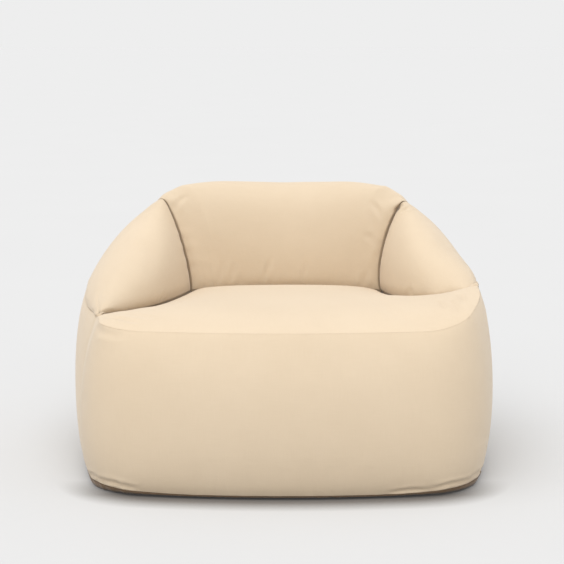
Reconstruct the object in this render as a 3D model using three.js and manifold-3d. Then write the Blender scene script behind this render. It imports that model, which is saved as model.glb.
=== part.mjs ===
// Bean bag armchair: a fitted fabric cover sewn from ten panels, with a long zip across its back,
// and inside it two bead sacks: one fills the seat, the other the arms and the backrest.
// Millimetres, +Z up, the front faces -Y. The origin is on the floor under the middle of the chair.
import * as THREE from 'three';
import { mergeVertices } from 'three/addons/utils/BufferGeometryUtils.js';
import Module from 'manifold-3d';

const wasm = await Module();
wasm.setup();

const { lerp, smoothstep, clamp, degToRad } = THREE.MathUtils;

// ---------------------------------------------------------------- driving dimensions
const WIDTH = 960;                 // outside width of the plan outline
const DEPTH = 880;                 // front to back
const HEIGHT = 612;                // top of the backrest
const FRONT_SEAM_HEIGHT = 352;     // seam between the front panel and the seat panel
const ARM_TIP_HEIGHT = 402;        // where an arm starts on the side of the seat
const REAR_SEAM_HEIGHT = 450;      // the same seam, at the back of the chair
const CREASE_HEIGHT = 356;         // where the backrest meets the seat
const SEAT_CROWN_HEIGHT = 376;     // highest point in the middle of the seat panel
const HEM_HEIGHT = 16;             // seam between the base panel and the walls

// the plan outline is five tangent arcs on each half
const FRONT_RADIUS = 1900;
const FRONT_CORNER_RADIUS = 165;
const SIDE_RADIUS = 1300;
const SIDE_CENTRE_Y = 20;
const REAR_CORNER_RADIUS = 250;
const REAR_RADIUS = 900;
const REAR_CENTRE_Y = DEPTH / 2 - REAR_RADIUS;

// places along the outline: 0 is the middle of the front, 1 the middle of the back
const ARM_TIP = 0.445;
const BACK_SEAM = 0.745;           // seam between an arm and the backrest
const SHOULDER = 0.815;            // where the rising arm reaches the height of the backrest
const SACK_START = 0.50;           // the arm sack ends short of the pointed arm tip
const CORNER_END = 0.42;           // past the front corner the seam has its side inset
const CORNER_START = 0.20;
const REAR_TURN = [0.50, 0.80];    // stretch over which the side of the wall becomes its rear

// how far each line lies inside the plan outline
const BASE_INSET = 26;
const HEM_INSET = 16;
const FRONT_SEAM_INSET = 52;
const SIDE_SEAM_INSET = 25;
const REAR_SEAM_INSET = 36;
const ARM_RIDGE_INSET = 110;
const BACK_RIDGE_INSET = 162;
const ARM_SWELL_END = 0.35;        // share of the arm over which its ridge moves in to its inset

// how the seat walls swell: the handles of their profile curve, out from its lower and upper ends
const WALL_BULGE = { front: 33.5, side: 22, rear: 32.5 };
const WALL_ROLL = { front: 52, side: 34 };
const WALL_RISE = 90;
const WALL_DROP = { front: 75, side: 110 };
const HEM_ROUND = 0.6;             // both handles of the hem's profile, as a share of its reach

// the rolled arms and backrest: handles of the curves over the outside and down the inside, as
// shares of the rise and of the run inwards
const ROLL_OUTSIDE = { rise: 0.2, run: 0.557 };
const ROLL_INSIDE = { run: 0.7, rise: 0.72, undercut: 0.08 };

// the crease around the seat
const CREASE_CORNER = new THREE.Vector2(238, 192);
const CREASE_BOW = 12;             // the crease bows back this much in the middle
const CREASE_CORNER_HEIGHT = 348;
const CREASE_TIP_HANDLE = 40;      // the crease leaves the arm tip straight towards the middle
const CREASE_CORNER_HANDLE = new THREE.Vector2(45, -295);
const CREASE_DROP_RATE = 1.5;      // it reaches its corner height two thirds of the way
const SEAT_CENTRE_Y = -110;

// cloth layers, as depths below the outer surface of the cover
const COVER = { outer: 0, inner: 2 };
const SACK = { outer: 4.8, inner: 5.8 };
const BEADS_DEPTH = 8.6;
const DIVIDER_HALF_THICKNESS = 1;
const SEAM_GAP = 0.3;              // each panel border is drawn back by this much
const DIVIDER_GAP = 4.5;
const LONGEST_CORNER_STEP = 2.2;   // at sharp corners a layer moves at most this much further

// zips
const ZIP_HEIGHT = 100;            // height of the cover zip on the back wall
const ZIP_HALF_OPENING = 7;
const ZIP_HALF_ANGLE = degToRad(18.6);
const SACK_ZIP_HEIGHT = 210;
const SACK_ZIP_HALF_OPENING = 5;
const SACK_ZIP_HALF_ANGLE = degToRad(9.3);
const BOLSTER_ZIP_BAND = [0.34, 0.40];  // stretch of the upper back that the second sack's zip takes

const COLOURS = {
  cover: 0xe8d3b0, base: 0xd9c4a2, sack: 0xf1eee6, beads: 0xfbfbf8,
  tape: 0xdcc8a4, coil: 0xcfba95, metal: 0xb9b5ab, label: 0xf6f3ea,
};

// ---------------------------------------------------------------- plan outline
function circleCrossing(a, radiusA, b, radiusB, score) {
  const span = b.clone().sub(a);
  const distance = span.length();
  const along = (radiusA ** 2 - radiusB ** 2 + distance ** 2) / (2 * distance);
  const across = Math.sqrt(Math.max(0, radiusA ** 2 - along ** 2));
  const unit = span.divideScalar(distance);
  const foot = a.clone().addScaledVector(unit, along);
  const side = new THREE.Vector2(-unit.y, unit.x);
  const found = [foot.clone().addScaledVector(side, across), foot.clone().addScaledVector(side, -across)];
  return score(found[0]) > score(found[1]) ? found[0] : found[1];
}

function makeOutline() {
  const front = new THREE.Vector2(0, -DEPTH / 2 + FRONT_RADIUS);
  const side = new THREE.Vector2(WIDTH / 2 - SIDE_RADIUS, SIDE_CENTRE_Y);
  const rear = new THREE.Vector2(0, REAR_CENTRE_Y);
  const frontCorner = circleCrossing(front, FRONT_RADIUS - FRONT_CORNER_RADIUS,
    side, SIDE_RADIUS - FRONT_CORNER_RADIUS, (p) => p.x - p.y);
  const rearCorner = circleCrossing(rear, REAR_RADIUS - REAR_CORNER_RADIUS,
    side, SIDE_RADIUS - REAR_CORNER_RADIUS, (p) => p.x + p.y);
  const bearing = (from, to) => Math.atan2(to.y - from.y, to.x - from.x);
  const turns = [-Math.PI / 2, bearing(front, frontCorner), bearing(side, frontCorner),
    bearing(side, rearCorner), bearing(rear, rearCorner), Math.PI / 2];
  const centres = [front, frontCorner, side, rearCorner, rear];
  const radii = [FRONT_RADIUS, FRONT_CORNER_RADIUS, SIDE_RADIUS, REAR_CORNER_RADIUS, REAR_RADIUS];
  const arcs = centres.map((centre, i) => ({ centre, radius: radii[i], from: turns[i], to: turns[i + 1] }));
  const length = arcs.reduce((sum, arc) => sum + arc.radius * (arc.to - arc.from), 0);
  return { arcs, length };
}

const OUTLINE = makeOutline();

// where the arcs meet, as places along the outline
const ARC_ENDS = OUTLINE.arcs.reduce((ends, arc) => {
  ends.push(ends.at(-1) + (arc.radius * (arc.to - arc.from)) / OUTLINE.length);
  return ends;
}, [0]);

// place u runs from -1 to 1, negative on the left half; inset moves the point inwards
function planPoint(u, inset) {
  const place = Math.min(Math.abs(u), 1);
  let index = 0;
  while (index < OUTLINE.arcs.length - 1 && place > ARC_ENDS[index + 1]) index += 1;
  const arc = OUTLINE.arcs[index];
  const angle = Math.min(arc.from + ((place - ARC_ENDS[index]) * OUTLINE.length) / arc.radius, arc.to);
  const side = u < 0 ? -1 : 1;
  const normal = new THREE.Vector3(side * Math.cos(angle), Math.sin(angle), 0);
  const point = new THREE.Vector3(
    side * (arc.centre.x + (arc.radius - inset) * Math.cos(angle)),
    arc.centre.y + (arc.radius - inset) * Math.sin(angle), 0);
  return { point, normal };
}

const atRearAngle = (angle) => 1 - (angle * REAR_RADIUS) / OUTLINE.length;

// ---------------------------------------------------------------- lines that the panels meet on
function seamInset(place) {
  const toSide = smoothstep(place, CORNER_START, CORNER_END);
  const toRear = smoothstep(place, ...REAR_TURN);
  return lerp(FRONT_SEAM_INSET, SIDE_SEAM_INSET, toSide) + (REAR_SEAM_INSET - SIDE_SEAM_INSET) * toRear;
}

// the seam round the top of the seat walls
function beltPoint(u) {
  const place = Math.abs(u);
  const { point, normal } = planPoint(u, seamInset(place));
  point.z = lerp(FRONT_SEAM_HEIGHT, ARM_TIP_HEIGHT, smoothstep(place, CORNER_START, ARM_TIP))
    + (REAR_SEAM_HEIGHT - ARM_TIP_HEIGHT) * smoothstep(place, ARM_TIP, SHOULDER);
  return { point, normal };
}

// steady rise from 0 to 1 that eases out over a stretch on each side of the shoulder
function shoulderRise(t) {
  const ease = 0.2;
  if (t < 1 - ease) return Math.max(t, 0);
  if (t < 1 + ease) return t - (t - 1 + ease) ** 2 / (4 * ease);
  return 1;
}

// the highest line of the arms and the backrest
function ridgePoint(u) {
  const place = Math.abs(u);
  const t = (place - ARM_TIP) / (SHOULDER - ARM_TIP);
  const inset = lerp(seamInset(place), ARM_RIDGE_INSET, smoothstep(t, 0, ARM_SWELL_END))
    + (BACK_RIDGE_INSET - ARM_RIDGE_INSET) * clamp(t, 0, 1) ** 1.5;
  const { point } = planPoint(u, inset);
  point.z = lerp(beltPoint(u).point.z, HEIGHT, shoulderRise(t));
  return point;
}

// the line where the arms and the backrest meet the seat panel
function creasePoint(u) {
  const place = Math.abs(u);
  const side = u < 0 ? -1 : 1;
  const tip = beltPoint(ARM_TIP).point;
  if (place <= ARM_TIP) return beltPoint(u).point;
  if (place >= BACK_SEAM) {
    const t = (1 - place) / (1 - BACK_SEAM);
    return new THREE.Vector3(side * CREASE_CORNER.x * t, CREASE_CORNER.y + CREASE_BOW * (1 - t * t),
      lerp(CREASE_HEIGHT, CREASE_CORNER_HEIGHT, t * t));
  }
  const t = (place - ARM_TIP) / (BACK_SEAM - ARM_TIP);
  const path = new THREE.CubicBezierCurve(new THREE.Vector2(tip.x, tip.y),
    new THREE.Vector2(tip.x - CREASE_TIP_HANDLE, tip.y),
    CREASE_CORNER.clone().add(CREASE_CORNER_HANDLE), CREASE_CORNER).getPoint(t);
  return new THREE.Vector3(side * path.x, path.y,
    lerp(tip.z, CREASE_CORNER_HEIGHT, smoothstep(CREASE_DROP_RATE * t, 0, 1)));
}

// ---------------------------------------------------------------- outer surface
const UP = new THREE.Vector3(0, 0, 1);
const bezier = (a, b, c, d, t) => new THREE.CubicBezierCurve3(a, b, c, d).getPoint(t);
const move = (p, direction, amount) => p.clone().addScaledVector(direction, amount);
const SEAT_CENTRE = new THREE.Vector3(0, SEAT_CENTRE_Y, SEAT_CROWN_HEIGHT);

const SECTIONS = {
  base(u, t) {
    return planPoint(u, BASE_INSET).point.multiplyScalar(t);
  },
  hem(u, t) {
    const low = planPoint(u, BASE_INSET).point;
    const out = planPoint(u, HEM_INSET).point;
    const high = out.clone().setZ(HEM_HEIGHT);
    return bezier(low, low.clone().lerp(out, HEM_ROUND), high.clone().lerp(out, HEM_ROUND), high, t);
  },
  wall(u, t) {
    const { point, normal } = planPoint(u, HEM_INSET);
    const low = point.setZ(HEM_HEIGHT);
    const high = beltPoint(u).point;
    const toSide = smoothstep(Math.abs(u), CORNER_START, ARM_TIP);
    const toRear = smoothstep(Math.abs(u), ...REAR_TURN);
    const bulge = lerp(WALL_BULGE.front, WALL_BULGE.side, toSide)
      + (WALL_BULGE.rear - WALL_BULGE.side) * toRear;
    const roll = lerp(WALL_ROLL.front, WALL_ROLL.side, toSide);
    const drop = lerp(WALL_DROP.front, WALL_DROP.side, toSide);
    const lowHandle = move(move(low, normal, bulge), UP, WALL_RISE);
    const highHandle = move(move(high, normal, roll), UP, -drop);
    return bezier(low, lowHandle, highHandle, high, t);
  },
  shoulder(u, t) {
    const low = beltPoint(u).point;
    const high = ridgePoint(u);
    const outward = low.clone().sub(high).setZ(0);
    const lowHandle = move(low, UP, ROLL_OUTSIDE.rise * (high.z - low.z));
    return bezier(low, lowHandle, move(high, outward, ROLL_OUTSIDE.run), high, t);
  },
  face(u, t) {
    const high = ridgePoint(u);
    const low = creasePoint(u);
    const rise = high.z - low.z;
    const reach = low.clone().sub(high).setZ(0);
    const lowHandle = move(move(low, UP, ROLL_INSIDE.rise * rise), reach, -ROLL_INSIDE.undercut);
    return bezier(high, move(high, reach, ROLL_INSIDE.run), lowHandle, low, t);
  },
  seat(u, t) {
    const edge = creasePoint(u);
    const point = edge.clone().lerp(SEAT_CENTRE, t);
    point.z = lerp(edge.z, SEAT_CENTRE.z, 1 - (1 - t) ** 4);
    return point;
  },
  divider(u, t) {
    return beltPoint(u).point.lerp(creasePoint(u), t);
  },
};

// the back wall is a surface of revolution, so a height on it is one place on its profile
function profilePlace(section, height) {
  let low = 0;
  let high = 1;
  while (high - low > 1e-9) {
    const middle = (low + high) / 2;
    if (SECTIONS[section](1, middle).z < height) low = middle;
    else high = middle;
  }
  return low;
}

// ---------------------------------------------------------------- sampled surfaces
function spread(stops, counts) {
  const places = [];
  counts.forEach((count, i) => {
    for (let k = 0; k < count; k += 1) places.push(lerp(stops[i], stops[i + 1], k / count));
  });
  return [...places, stops.at(-1)];
}

const HALF_COLUMNS = spread(
  [0, ARC_ENDS[1], ARC_ENDS[2], ARM_TIP, SACK_START, ARC_ENDS[3], BACK_SEAM, ARC_ENDS[4],
    atRearAngle(ZIP_HALF_ANGLE), atRearAngle(SACK_ZIP_HALF_ANGLE), 1],
  [3, 4, 2, 1, 3, 3, 1, 1, 3, 3]);
const COLUMNS = [...HALF_COLUMNS.slice(1).reverse().map((u) => -u), ...HALF_COLUMNS];

const rowsOf = (section, places) => places.map((t) => ({ section, t }));
const WALL_ZIP_HEIGHTS = [ZIP_HEIGHT - ZIP_HALF_OPENING, ZIP_HEIGHT + ZIP_HALF_OPENING,
  SACK_ZIP_HEIGHT - SACK_ZIP_HALF_OPENING, SACK_ZIP_HEIGHT + SACK_ZIP_HALF_OPENING];
const WALL_ROWS = [0, ...WALL_ZIP_HEIGHTS.map((height) => profilePlace('wall', height)), 0.68, 0.84, 1];
const SHOULDER_ROWS = [0, 0.27, BOLSTER_ZIP_BAND[0], BOLSTER_ZIP_BAND[1], 0.47, 0.72, 1];
const FACE_ROWS = [0, 0.2, 0.42, 0.68, 1];
const LOWER_ROWS = [...rowsOf('base', [0, 1]), ...rowsOf('hem', [0.45, 1]),
  ...rowsOf('wall', WALL_ROWS.slice(1))];
const UPPER_ROWS = [...rowsOf('shoulder', SHOULDER_ROWS), ...rowsOf('face', FACE_ROWS.slice(1))];
const SEAT_ROWS = rowsOf('seat', [0, 0.12, 0.36, 0.68, 1]);

const diagonal = (vertices, corners, from) => vertices[corners[from]].distanceTo(vertices[corners[from + 2]]);

// A sampled surface holds merged vertices and cells. A cell's corners run anticlockwise seen from
// outside, with the shorter diagonal between the first and the third. The cell knows its section,
// its place round the outline and the two rows that bound it.
function sampleSurface(columns, rows, closedColumns) {
  const vertices = [];
  const known = new Map();
  const indexOf = (point) => {
    const key = point.toArray().map((value) => Math.round(value * 1e4)).join();
    if (!known.has(key)) {
      known.set(key, vertices.length);
      vertices.push(point);
    }
    return known.get(key);
  };
  const grid = rows.map(({ section, t }) => columns.map((u) => indexOf(SECTIONS[section](u, t))));
  const cells = [];
  for (let r = 0; r + 1 < rows.length; r += 1) {
    for (let c = 0; c + 1 < columns.length; c += 1) {
      const corners = [grid[r][c], grid[r][c + 1], grid[r + 1][c + 1], grid[r + 1][c]];
      const distinct = corners.filter((corner, i) => corner !== corners[(i + 1) % 4]);
      if (new Set(distinct).size < 3) continue;
      if (distinct.length === 4 && diagonal(vertices, distinct, 1) < diagonal(vertices, distinct, 0) - 1e-6) {
        distinct.push(distinct.shift());
      }
      const place = (Math.abs(columns[c]) + Math.abs(columns[c + 1])) / 2;
      const side = Math.min(columns[c], columns[c + 1]) < 0 ? 'left' : 'right';
      const { section, t: to } = rows[r + 1];
      const from = rows[r].section === section ? rows[r].t : 0;
      cells.push({ corners: distinct, section, from, to, place, side });
    }
  }
  if (!closedColumns) {
    const closeEnd = (column, flip) => {
      const loop = grid.map((row) => row[column]);
      const centre = new THREE.Vector3();
      loop.slice(1).forEach((i) => centre.addScaledVector(vertices[i], 1 / (loop.length - 1)));
      const hub = indexOf(centre);
      for (let r = 0; r + 1 < loop.length; r += 1) {
        const corners = flip ? [loop[r + 1], loop[r], hub] : [loop[r], loop[r + 1], hub];
        if (corners[0] === corners[1]) continue;
        cells.push({ corners, section: 'end', from: 0, to: 1, place: 0, side: '' });
      }
    };
    closeEnd(0, false);
    closeEnd(columns.length - 1, true);
  }
  return { vertices, cells, steps: offsetSteps(vertices, cells) };
}

function cellNormal(vertices, corners) {
  const p = corners.map((i) => vertices[i]);
  const across = p.length === 4 ? [p[2].clone().sub(p[0]), p[3].clone().sub(p[1])]
    : [p[1].clone().sub(p[0]), p[2].clone().sub(p[0])];
  return across[0].cross(across[1]).normalize();
}

// for each vertex, the step that moves every face around it inwards by 1 mm
function offsetSteps(vertices, cells) {
  const damping = 0.004;
  const sums = vertices.map(() => ({ matrix: new Array(9).fill(0), vector: new THREE.Vector3() }));
  cells.forEach(({ corners }) => {
    const n = cellNormal(vertices, corners).toArray();
    corners.forEach((i) => {
      sums[i].matrix.forEach((_, k, matrix) => { matrix[k] += n[Math.floor(k / 3)] * n[k % 3]; });
      sums[i].vector.add(new THREE.Vector3(...n));
    });
  });
  return sums.map(({ matrix, vector }) => {
    const m = new THREE.Matrix3().fromArray(matrix);
    for (let k = 0; k < 3; k += 1) m.elements[4 * k] += damping;
    return vector.clone().applyMatrix3(m.invert()).clampLength(0, LONGEST_CORNER_STEP).negate();
  });
}

function geometryFrom(positions, triangles) {
  const geometry = new THREE.BufferGeometry();
  const values = positions.flatMap((p) => p.toArray());
  geometry.setAttribute('position', new THREE.Float32BufferAttribute(values, 3));
  geometry.setIndex(triangles.flat());
  geometry.computeVertexNormals();
  return geometry;
}

const fan = (corners) => corners.slice(2).map((_, i) => [corners[0], corners[i + 1], corners[i + 2]]);

// for each border vertex, the step along the surface that moves its border edges inwards by 1 mm
function borderSteps(vertices, triangles, border) {
  const outgoing = new Set(border.map((edge) => edge.join('_')));
  const inward = new Map(border.flat().map((i) => [i, []]));
  triangles.forEach((triangle) => {
    const normal = cellNormal(vertices, triangle);
    triangle.forEach((a, i) => {
      const b = triangle[(i + 1) % 3];
      if (!outgoing.has(`${a}_${b}`)) return;
      const step = normal.clone().cross(vertices[b].clone().sub(vertices[a]).normalize());
      inward.get(a).push(step);
      inward.get(b).push(step);
    });
  });
  const steps = new Map();
  inward.forEach(([first, second], i) => {
    const step = first.clone().add(second);
    steps.set(i, step.divideScalar(1 + first.dot(second)).clampLength(0, LONGEST_CORNER_STEP));
  });
  return steps;
}

// a sheet of cloth of the chosen cells, between two depths below the surface
function sheet(surface, keep, { outer, inner }, gap = SEAM_GAP) {
  const cells = surface.cells.filter(keep);
  const triangles = cells.flatMap(({ corners }) => fan(corners));
  const sides = triangles.flatMap(([a, b, c]) => [[a, b], [b, c], [c, a]]);
  const edges = new Map(sides.map((edge) => [edge.join('_'), edge]));
  const border = [...edges.values()].filter(([a, b]) => !edges.has(`${b}_${a}`));
  const pulled = borderSteps(surface.vertices, triangles, border);
  const used = [...new Set(triangles.flat())];
  const order = new Map(used.map((vertex, i) => [vertex, i]));
  const layer = (depth) => used.map((i) => {
    const point = move(surface.vertices[i], surface.steps[i], depth);
    return pulled.has(i) ? point.addScaledVector(pulled.get(i), gap) : point;
  });
  const back = used.length;
  const faces = triangles.flatMap((t) => {
    const [a, b, c] = t.map((i) => order.get(i));
    return [[a, b, c], [c + back, b + back, a + back]];
  });
  // two panels that share a border split its edge faces along the same diagonal
  border.forEach(([from, to]) => {
    const [a, b] = [order.get(from), order.get(to)];
    if (from < to) faces.push([b, a, a + back], [b, a + back, b + back]);
    else faces.push([b, a, b + back], [a, a + back, b + back]);
  });
  return geometryFrom([...layer(outer), ...layer(inner)], faces);
}

// everything inside a closed surface, set back by a depth
function filling(surface, depth) {
  const positions = surface.vertices.map((vertex, i) => move(vertex, surface.steps[i], depth));
  return geometryFrom(positions, surface.cells.flatMap(({ corners }) => fan(corners)));
}

const coverSurface = sampleSurface(COLUMNS,
  [...LOWER_ROWS, ...UPPER_ROWS.slice(1), ...SEAT_ROWS.slice(1)], true);
const seatSurface = sampleSurface(COLUMNS,
  [...LOWER_ROWS, { section: 'divider', t: 1 }, ...SEAT_ROWS.slice(1)], true);
const ringColumns = (start) => {
  const half = HALF_COLUMNS.filter((u) => u >= start - 1e-9);
  return [...half, ...half.slice(0, -1).reverse().map((u) => -u)];
};
const bolsterSurface = sampleSurface(ringColumns(SACK_START),
  [...UPPER_ROWS, { section: 'divider', t: 0 }], false);

// ---------------------------------------------------------------- group and materials
const chair = new THREE.Group();

function add(name, geometry, colour, roughness = 0.9, metalness = 0) {
  const material = new THREE.MeshStandardMaterial({ color: colour, roughness, metalness });
  const mesh = new THREE.Mesh(geometry, material);
  mesh.name = name;
  chair.add(mesh);
}

// ---------------------------------------------------------------- cover panels
const inOpening = (cell, section, rows, angle) => cell.section === section
  && cell.from >= rows[0] - 1e-9 && cell.to <= rows[1] + 1e-9 && cell.place > atRearAngle(angle);
const isRear = (cell) => cell.place > BACK_SEAM;
const isArmSide = (cell) => cell.place > ARM_TIP && !isRear(cell);
const isUpper = (cell) => cell.section === 'shoulder' || cell.section === 'face';
const COVER_ZIP_ROWS = WALL_ROWS.slice(1, 3);
const SEAT_SACK_ZIP_ROWS = WALL_ROWS.slice(3, 5);

const COVER_PANELS = {
  base_panel: (cell) => cell.section === 'base' || cell.section === 'hem',
  front_panel: (cell) => cell.section === 'wall' && cell.place < ARM_TIP,
  left_side_panel: (cell) => cell.section === 'wall' && isArmSide(cell) && cell.side === 'left',
  right_side_panel: (cell) => cell.section === 'wall' && isArmSide(cell) && cell.side === 'right',
  rear_lower_panel: (cell) => cell.section === 'wall' && isRear(cell)
    && cell.to <= COVER_ZIP_ROWS[0] + 1e-9,
  rear_upper_panel: (cell) => cell.section === 'wall' && isRear(cell) && cell.from >= COVER_ZIP_ROWS[0] - 1e-9
    && !inOpening(cell, 'wall', COVER_ZIP_ROWS, ZIP_HALF_ANGLE),
  left_arm_panel: (cell) => isUpper(cell) && isArmSide(cell) && cell.side === 'left',
  right_arm_panel: (cell) => isUpper(cell) && isArmSide(cell) && cell.side === 'right',
  backrest_panel: (cell) => isUpper(cell) && isRear(cell),
  seat_panel: (cell) => cell.section === 'seat',
};
Object.entries(COVER_PANELS).forEach(([name, keep]) => {
  add(name, sheet(coverSurface, keep, COVER), name === 'base_panel' ? COLOURS.base : COLOURS.cover);
});

// the cloth that ties the crease back to the belt seam and parts the two sacks
function dividerGeometry() {
  const surface = sampleSurface(ringColumns(SACK_START), rowsOf('divider', [0, 1]), true);
  const layers = { outer: -DIVIDER_HALF_THICKNESS, inner: DIVIDER_HALF_THICKNESS };
  return sheet(surface, () => true, layers, DIVIDER_GAP);
}
add('sack_divider_panel', dividerGeometry(), COLOURS.sack);

// ---------------------------------------------------------------- bead sacks
function addSack(name, surface, zipSection, zipRows) {
  const keep = (cell) => !inOpening(cell, zipSection, zipRows, SACK_ZIP_HALF_ANGLE);
  add(`${name}_sack`, sheet(surface, keep, SACK), COLOURS.sack);
  add(`${name}_beads`, filling(surface, BEADS_DEPTH), COLOURS.beads);
}
addSack('seat', seatSurface, 'wall', SEAT_SACK_ZIP_ROWS);
addSack('bolster', bolsterSurface, 'shoulder', BOLSTER_ZIP_BAND);

// ---------------------------------------------------------------- zips
// Every zip runs round the upright axis of the rear arc. Its own frame: s across the chain, up the
// wall, and depth below the outer surface of the cover.
function zipFrame(section, t) {
  const toRim = ({ y, z }) => new THREE.Vector2(y - REAR_CENTRE_Y, z);
  const middle = toRim(SECTIONS[section](1, t));
  const up = toRim(SECTIONS[section](1, t + 1e-4)).sub(toRim(SECTIONS[section](1, t - 1e-4))).normalize();
  const out = new THREE.Vector2(up.y, -up.x);
  const at = (s, depth) => middle.clone().addScaledVector(up, s).addScaledVector(out, -depth);
  return { out, at };
}

const onArc = (rim, angle) => new THREE.Vector3(
  rim.x * Math.sin(angle), REAR_CENTRE_Y + rim.x * Math.cos(angle), rim.y);

// a closed outline of [s, depth] points, turned from one angle to another about the rear arc's axis
function sweep(frame, outline, from, to, steps) {
  const rims = outline.map(([s, depth]) => frame.at(s, depth));
  const flip = THREE.ShapeUtils.area(rims) < 0;
  const ring = flip ? rims.reverse() : rims;
  const count = ring.length;
  const positions = [];
  for (let k = 0; k <= steps; k += 1) {
    ring.forEach((rim) => positions.push(onArc(rim, lerp(from, to, k / steps))));
  }
  const faces = [];
  for (let k = 0; k < steps; k += 1) {
    for (let i = 0; i < count; i += 1) {
      const [a, b] = [k * count + i, k * count + ((i + 1) % count)];
      faces.push([a, b, b + count], [a, b + count, a + count]);
    }
  }
  const cap = THREE.ShapeUtils.triangulateShape(ring, []);
  const end = steps * count;
  cap.forEach(([a, b, c]) => faces.push([c, b, a], [a + end, b + end, c + end]));
  return geometryFrom(positions, faces);
}

const box = (s0, s1, depth0, depth1) => [[s0, depth0], [s1, depth0], [s1, depth1], [s0, depth1]];
const mirrored = (outline, side) => outline.map(([s, depth]) => [side * s, depth]);

// boolean joins of closed solids
function solid(geometry) {
  const bare = geometry.clone();
  bare.deleteAttribute('normal');
  bare.deleteAttribute('uv');
  const merged = mergeVertices(bare, 1e-4);
  return new wasm.Manifold(new wasm.Mesh({
    numProp: 3,
    vertProperties: new Float32Array(merged.attributes.position.array),
    triVerts: new Uint32Array(merged.index.array),
  }));
}

function joined(...geometries) {
  const whole = geometries.map(solid).reduce((sum, piece) => sum.add(piece));
  const mesh = whole.getMesh();
  const geometry = new THREE.BufferGeometry();
  geometry.setAttribute('position', new THREE.Float32BufferAttribute(mesh.vertProperties, 3));
  geometry.setIndex(Array.from(mesh.triVerts));
  geometry.computeVertexNormals();
  return geometry;
}

// slider body: two plates and the bridge between them that parts the coils
const SLIDER = {
  halfWidth: 4.6, halfLength: 6.5, bridge: 0.4, top: -1.3, topInner: -0.2, clear: 0.3, plate: 0.8,
};

function sliderGeometry(frame, angle, depth, bottomInner, bottom) {
  const w = SLIDER.halfWidth;
  const b = SLIDER.bridge;
  const outline = [[-w, depth + SLIDER.top], [w, depth + SLIDER.top], [w, depth + SLIDER.topInner],
    [b, depth + SLIDER.topInner], [b, bottomInner], [w, bottomInner], [w, bottom],
    [-w, bottom], [-w, bottomInner], [-b, bottomInner], [-b, depth + SLIDER.topInner],
    [-w, depth + SLIDER.topInner]];
  const reach = SLIDER.halfLength / REAR_RADIUS;
  return sweep(frame, outline, angle - reach, angle + reach, 2);
}

// cover zip: tapes sewn behind the panel borders, coils on them, a stop at each end
const coverZip = zipFrame('wall', (COVER_ZIP_ROWS[0] + COVER_ZIP_ROWS[1]) / 2);
const CHAIN_STEPS = 36;
const STOP_ANGLE = 3 / REAR_RADIUS;
const STOP_CLEAR = 0.2;            // free run between the coil and its stop
const STOP_PROUD = 0.5;            // how far a stop stands out past the coil
const END_CLEAR = 2;               // a slider's closed end stays this far short of the chain's end
const CHAIN_HALF_ANGLE = ZIP_HALF_ANGLE - 2 * STOP_ANGLE;
const CLOSED_ANGLE = CHAIN_HALF_ANGLE - (SLIDER.halfLength + END_CLEAR) / REAR_RADIUS;
const TAPE = { near: 1.2, flat: 6, far: 15, outer: 2.8, inner: 3.3, fall: 1 };
const COIL = { near: 0.8, far: 3.4, outer: 0.2, inner: 2.5 };

const TAPE_OUTLINE = [[TAPE.near, TAPE.outer], [TAPE.flat, TAPE.outer], [TAPE.far, TAPE.outer + TAPE.fall],
  [TAPE.far, TAPE.inner + TAPE.fall], [TAPE.flat, TAPE.inner], [TAPE.near, TAPE.inner]];

[['upper', 1], ['lower', -1]].forEach(([name, side]) => {
  add(`zip_${name}_tape`, sweep(coverZip, mirrored(TAPE_OUTLINE, side),
    -ZIP_HALF_ANGLE, ZIP_HALF_ANGLE, CHAIN_STEPS), COLOURS.tape);
  add(`zip_${name}_coil`, sweep(coverZip, mirrored(box(COIL.near, COIL.far, COIL.outer, COIL.inner), side),
    -CHAIN_HALF_ANGLE, CHAIN_HALF_ANGLE, CHAIN_STEPS), COLOURS.coil, 0.5);
});
[['left', -1], ['right', 1]].forEach(([name, side]) => {
  const ends = [CHAIN_HALF_ANGLE + STOP_CLEAR / REAR_RADIUS, CHAIN_HALF_ANGLE + STOP_ANGLE];
  const [from, to] = ends.map((angle) => side * angle).sort((a, b) => a - b);
  const outline = box(-COIL.far, COIL.far, COIL.outer - STOP_PROUD, COIL.inner);
  add(`zip_${name}_stop`, sweep(coverZip, outline, from, to, 1), COLOURS.metal, 0.35, 1);
});

// pull tab and the pin that it swings on, in the frame of the slider at its closed end
const PIN = { height: 3.2, radius: 0.6, eye: 0.85, eyeOuter: 1.7 };
const EAR = { inner: 2.6, thickness: 0.9, halfLength: 1.5, overPin: 1.1, sunk: 0.5 };
const TAB = { length: 27, thickness: 1.4, halfNeck: 2.3, halfWidth: 4.2, neckEnd: 5 };

function sliderMatrix(frame, angle) {
  const along = new THREE.Vector3(Math.cos(angle), -Math.sin(angle), 0);
  const { x: level, y: upward } = frame.out;
  const outward = new THREE.Vector3(level * Math.sin(angle), level * Math.cos(angle), upward);
  const across = new THREE.Vector3().crossVectors(outward, along);
  const matrix = new THREE.Matrix4().makeBasis(across, along.negate(), outward);
  return matrix.setPosition(onArc(frame.at(0, 0), angle));
}

// local axes of the slider: x across the chain, y along it towards the closed side, z outwards
const closedPlace = sliderMatrix(coverZip, CLOSED_ANGLE);
const placed = (geometry, matrix) => geometry.clone().applyMatrix4(matrix);
const block = (x0, x1, y0, y1, z0, z1) => new THREE.BoxGeometry(x1 - x0, y1 - y0, z1 - z0)
  .translate((x0 + x1) / 2, (y0 + y1) / 2, (z0 + z1) / 2);

function pinGeometry() {
  const reach = EAR.inner + EAR.thickness / 2;
  return new THREE.CylinderGeometry(PIN.radius, PIN.radius, 2 * reach, 16).rotateZ(Math.PI / 2)
    .translate(0, 0, PIN.height);
}

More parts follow.
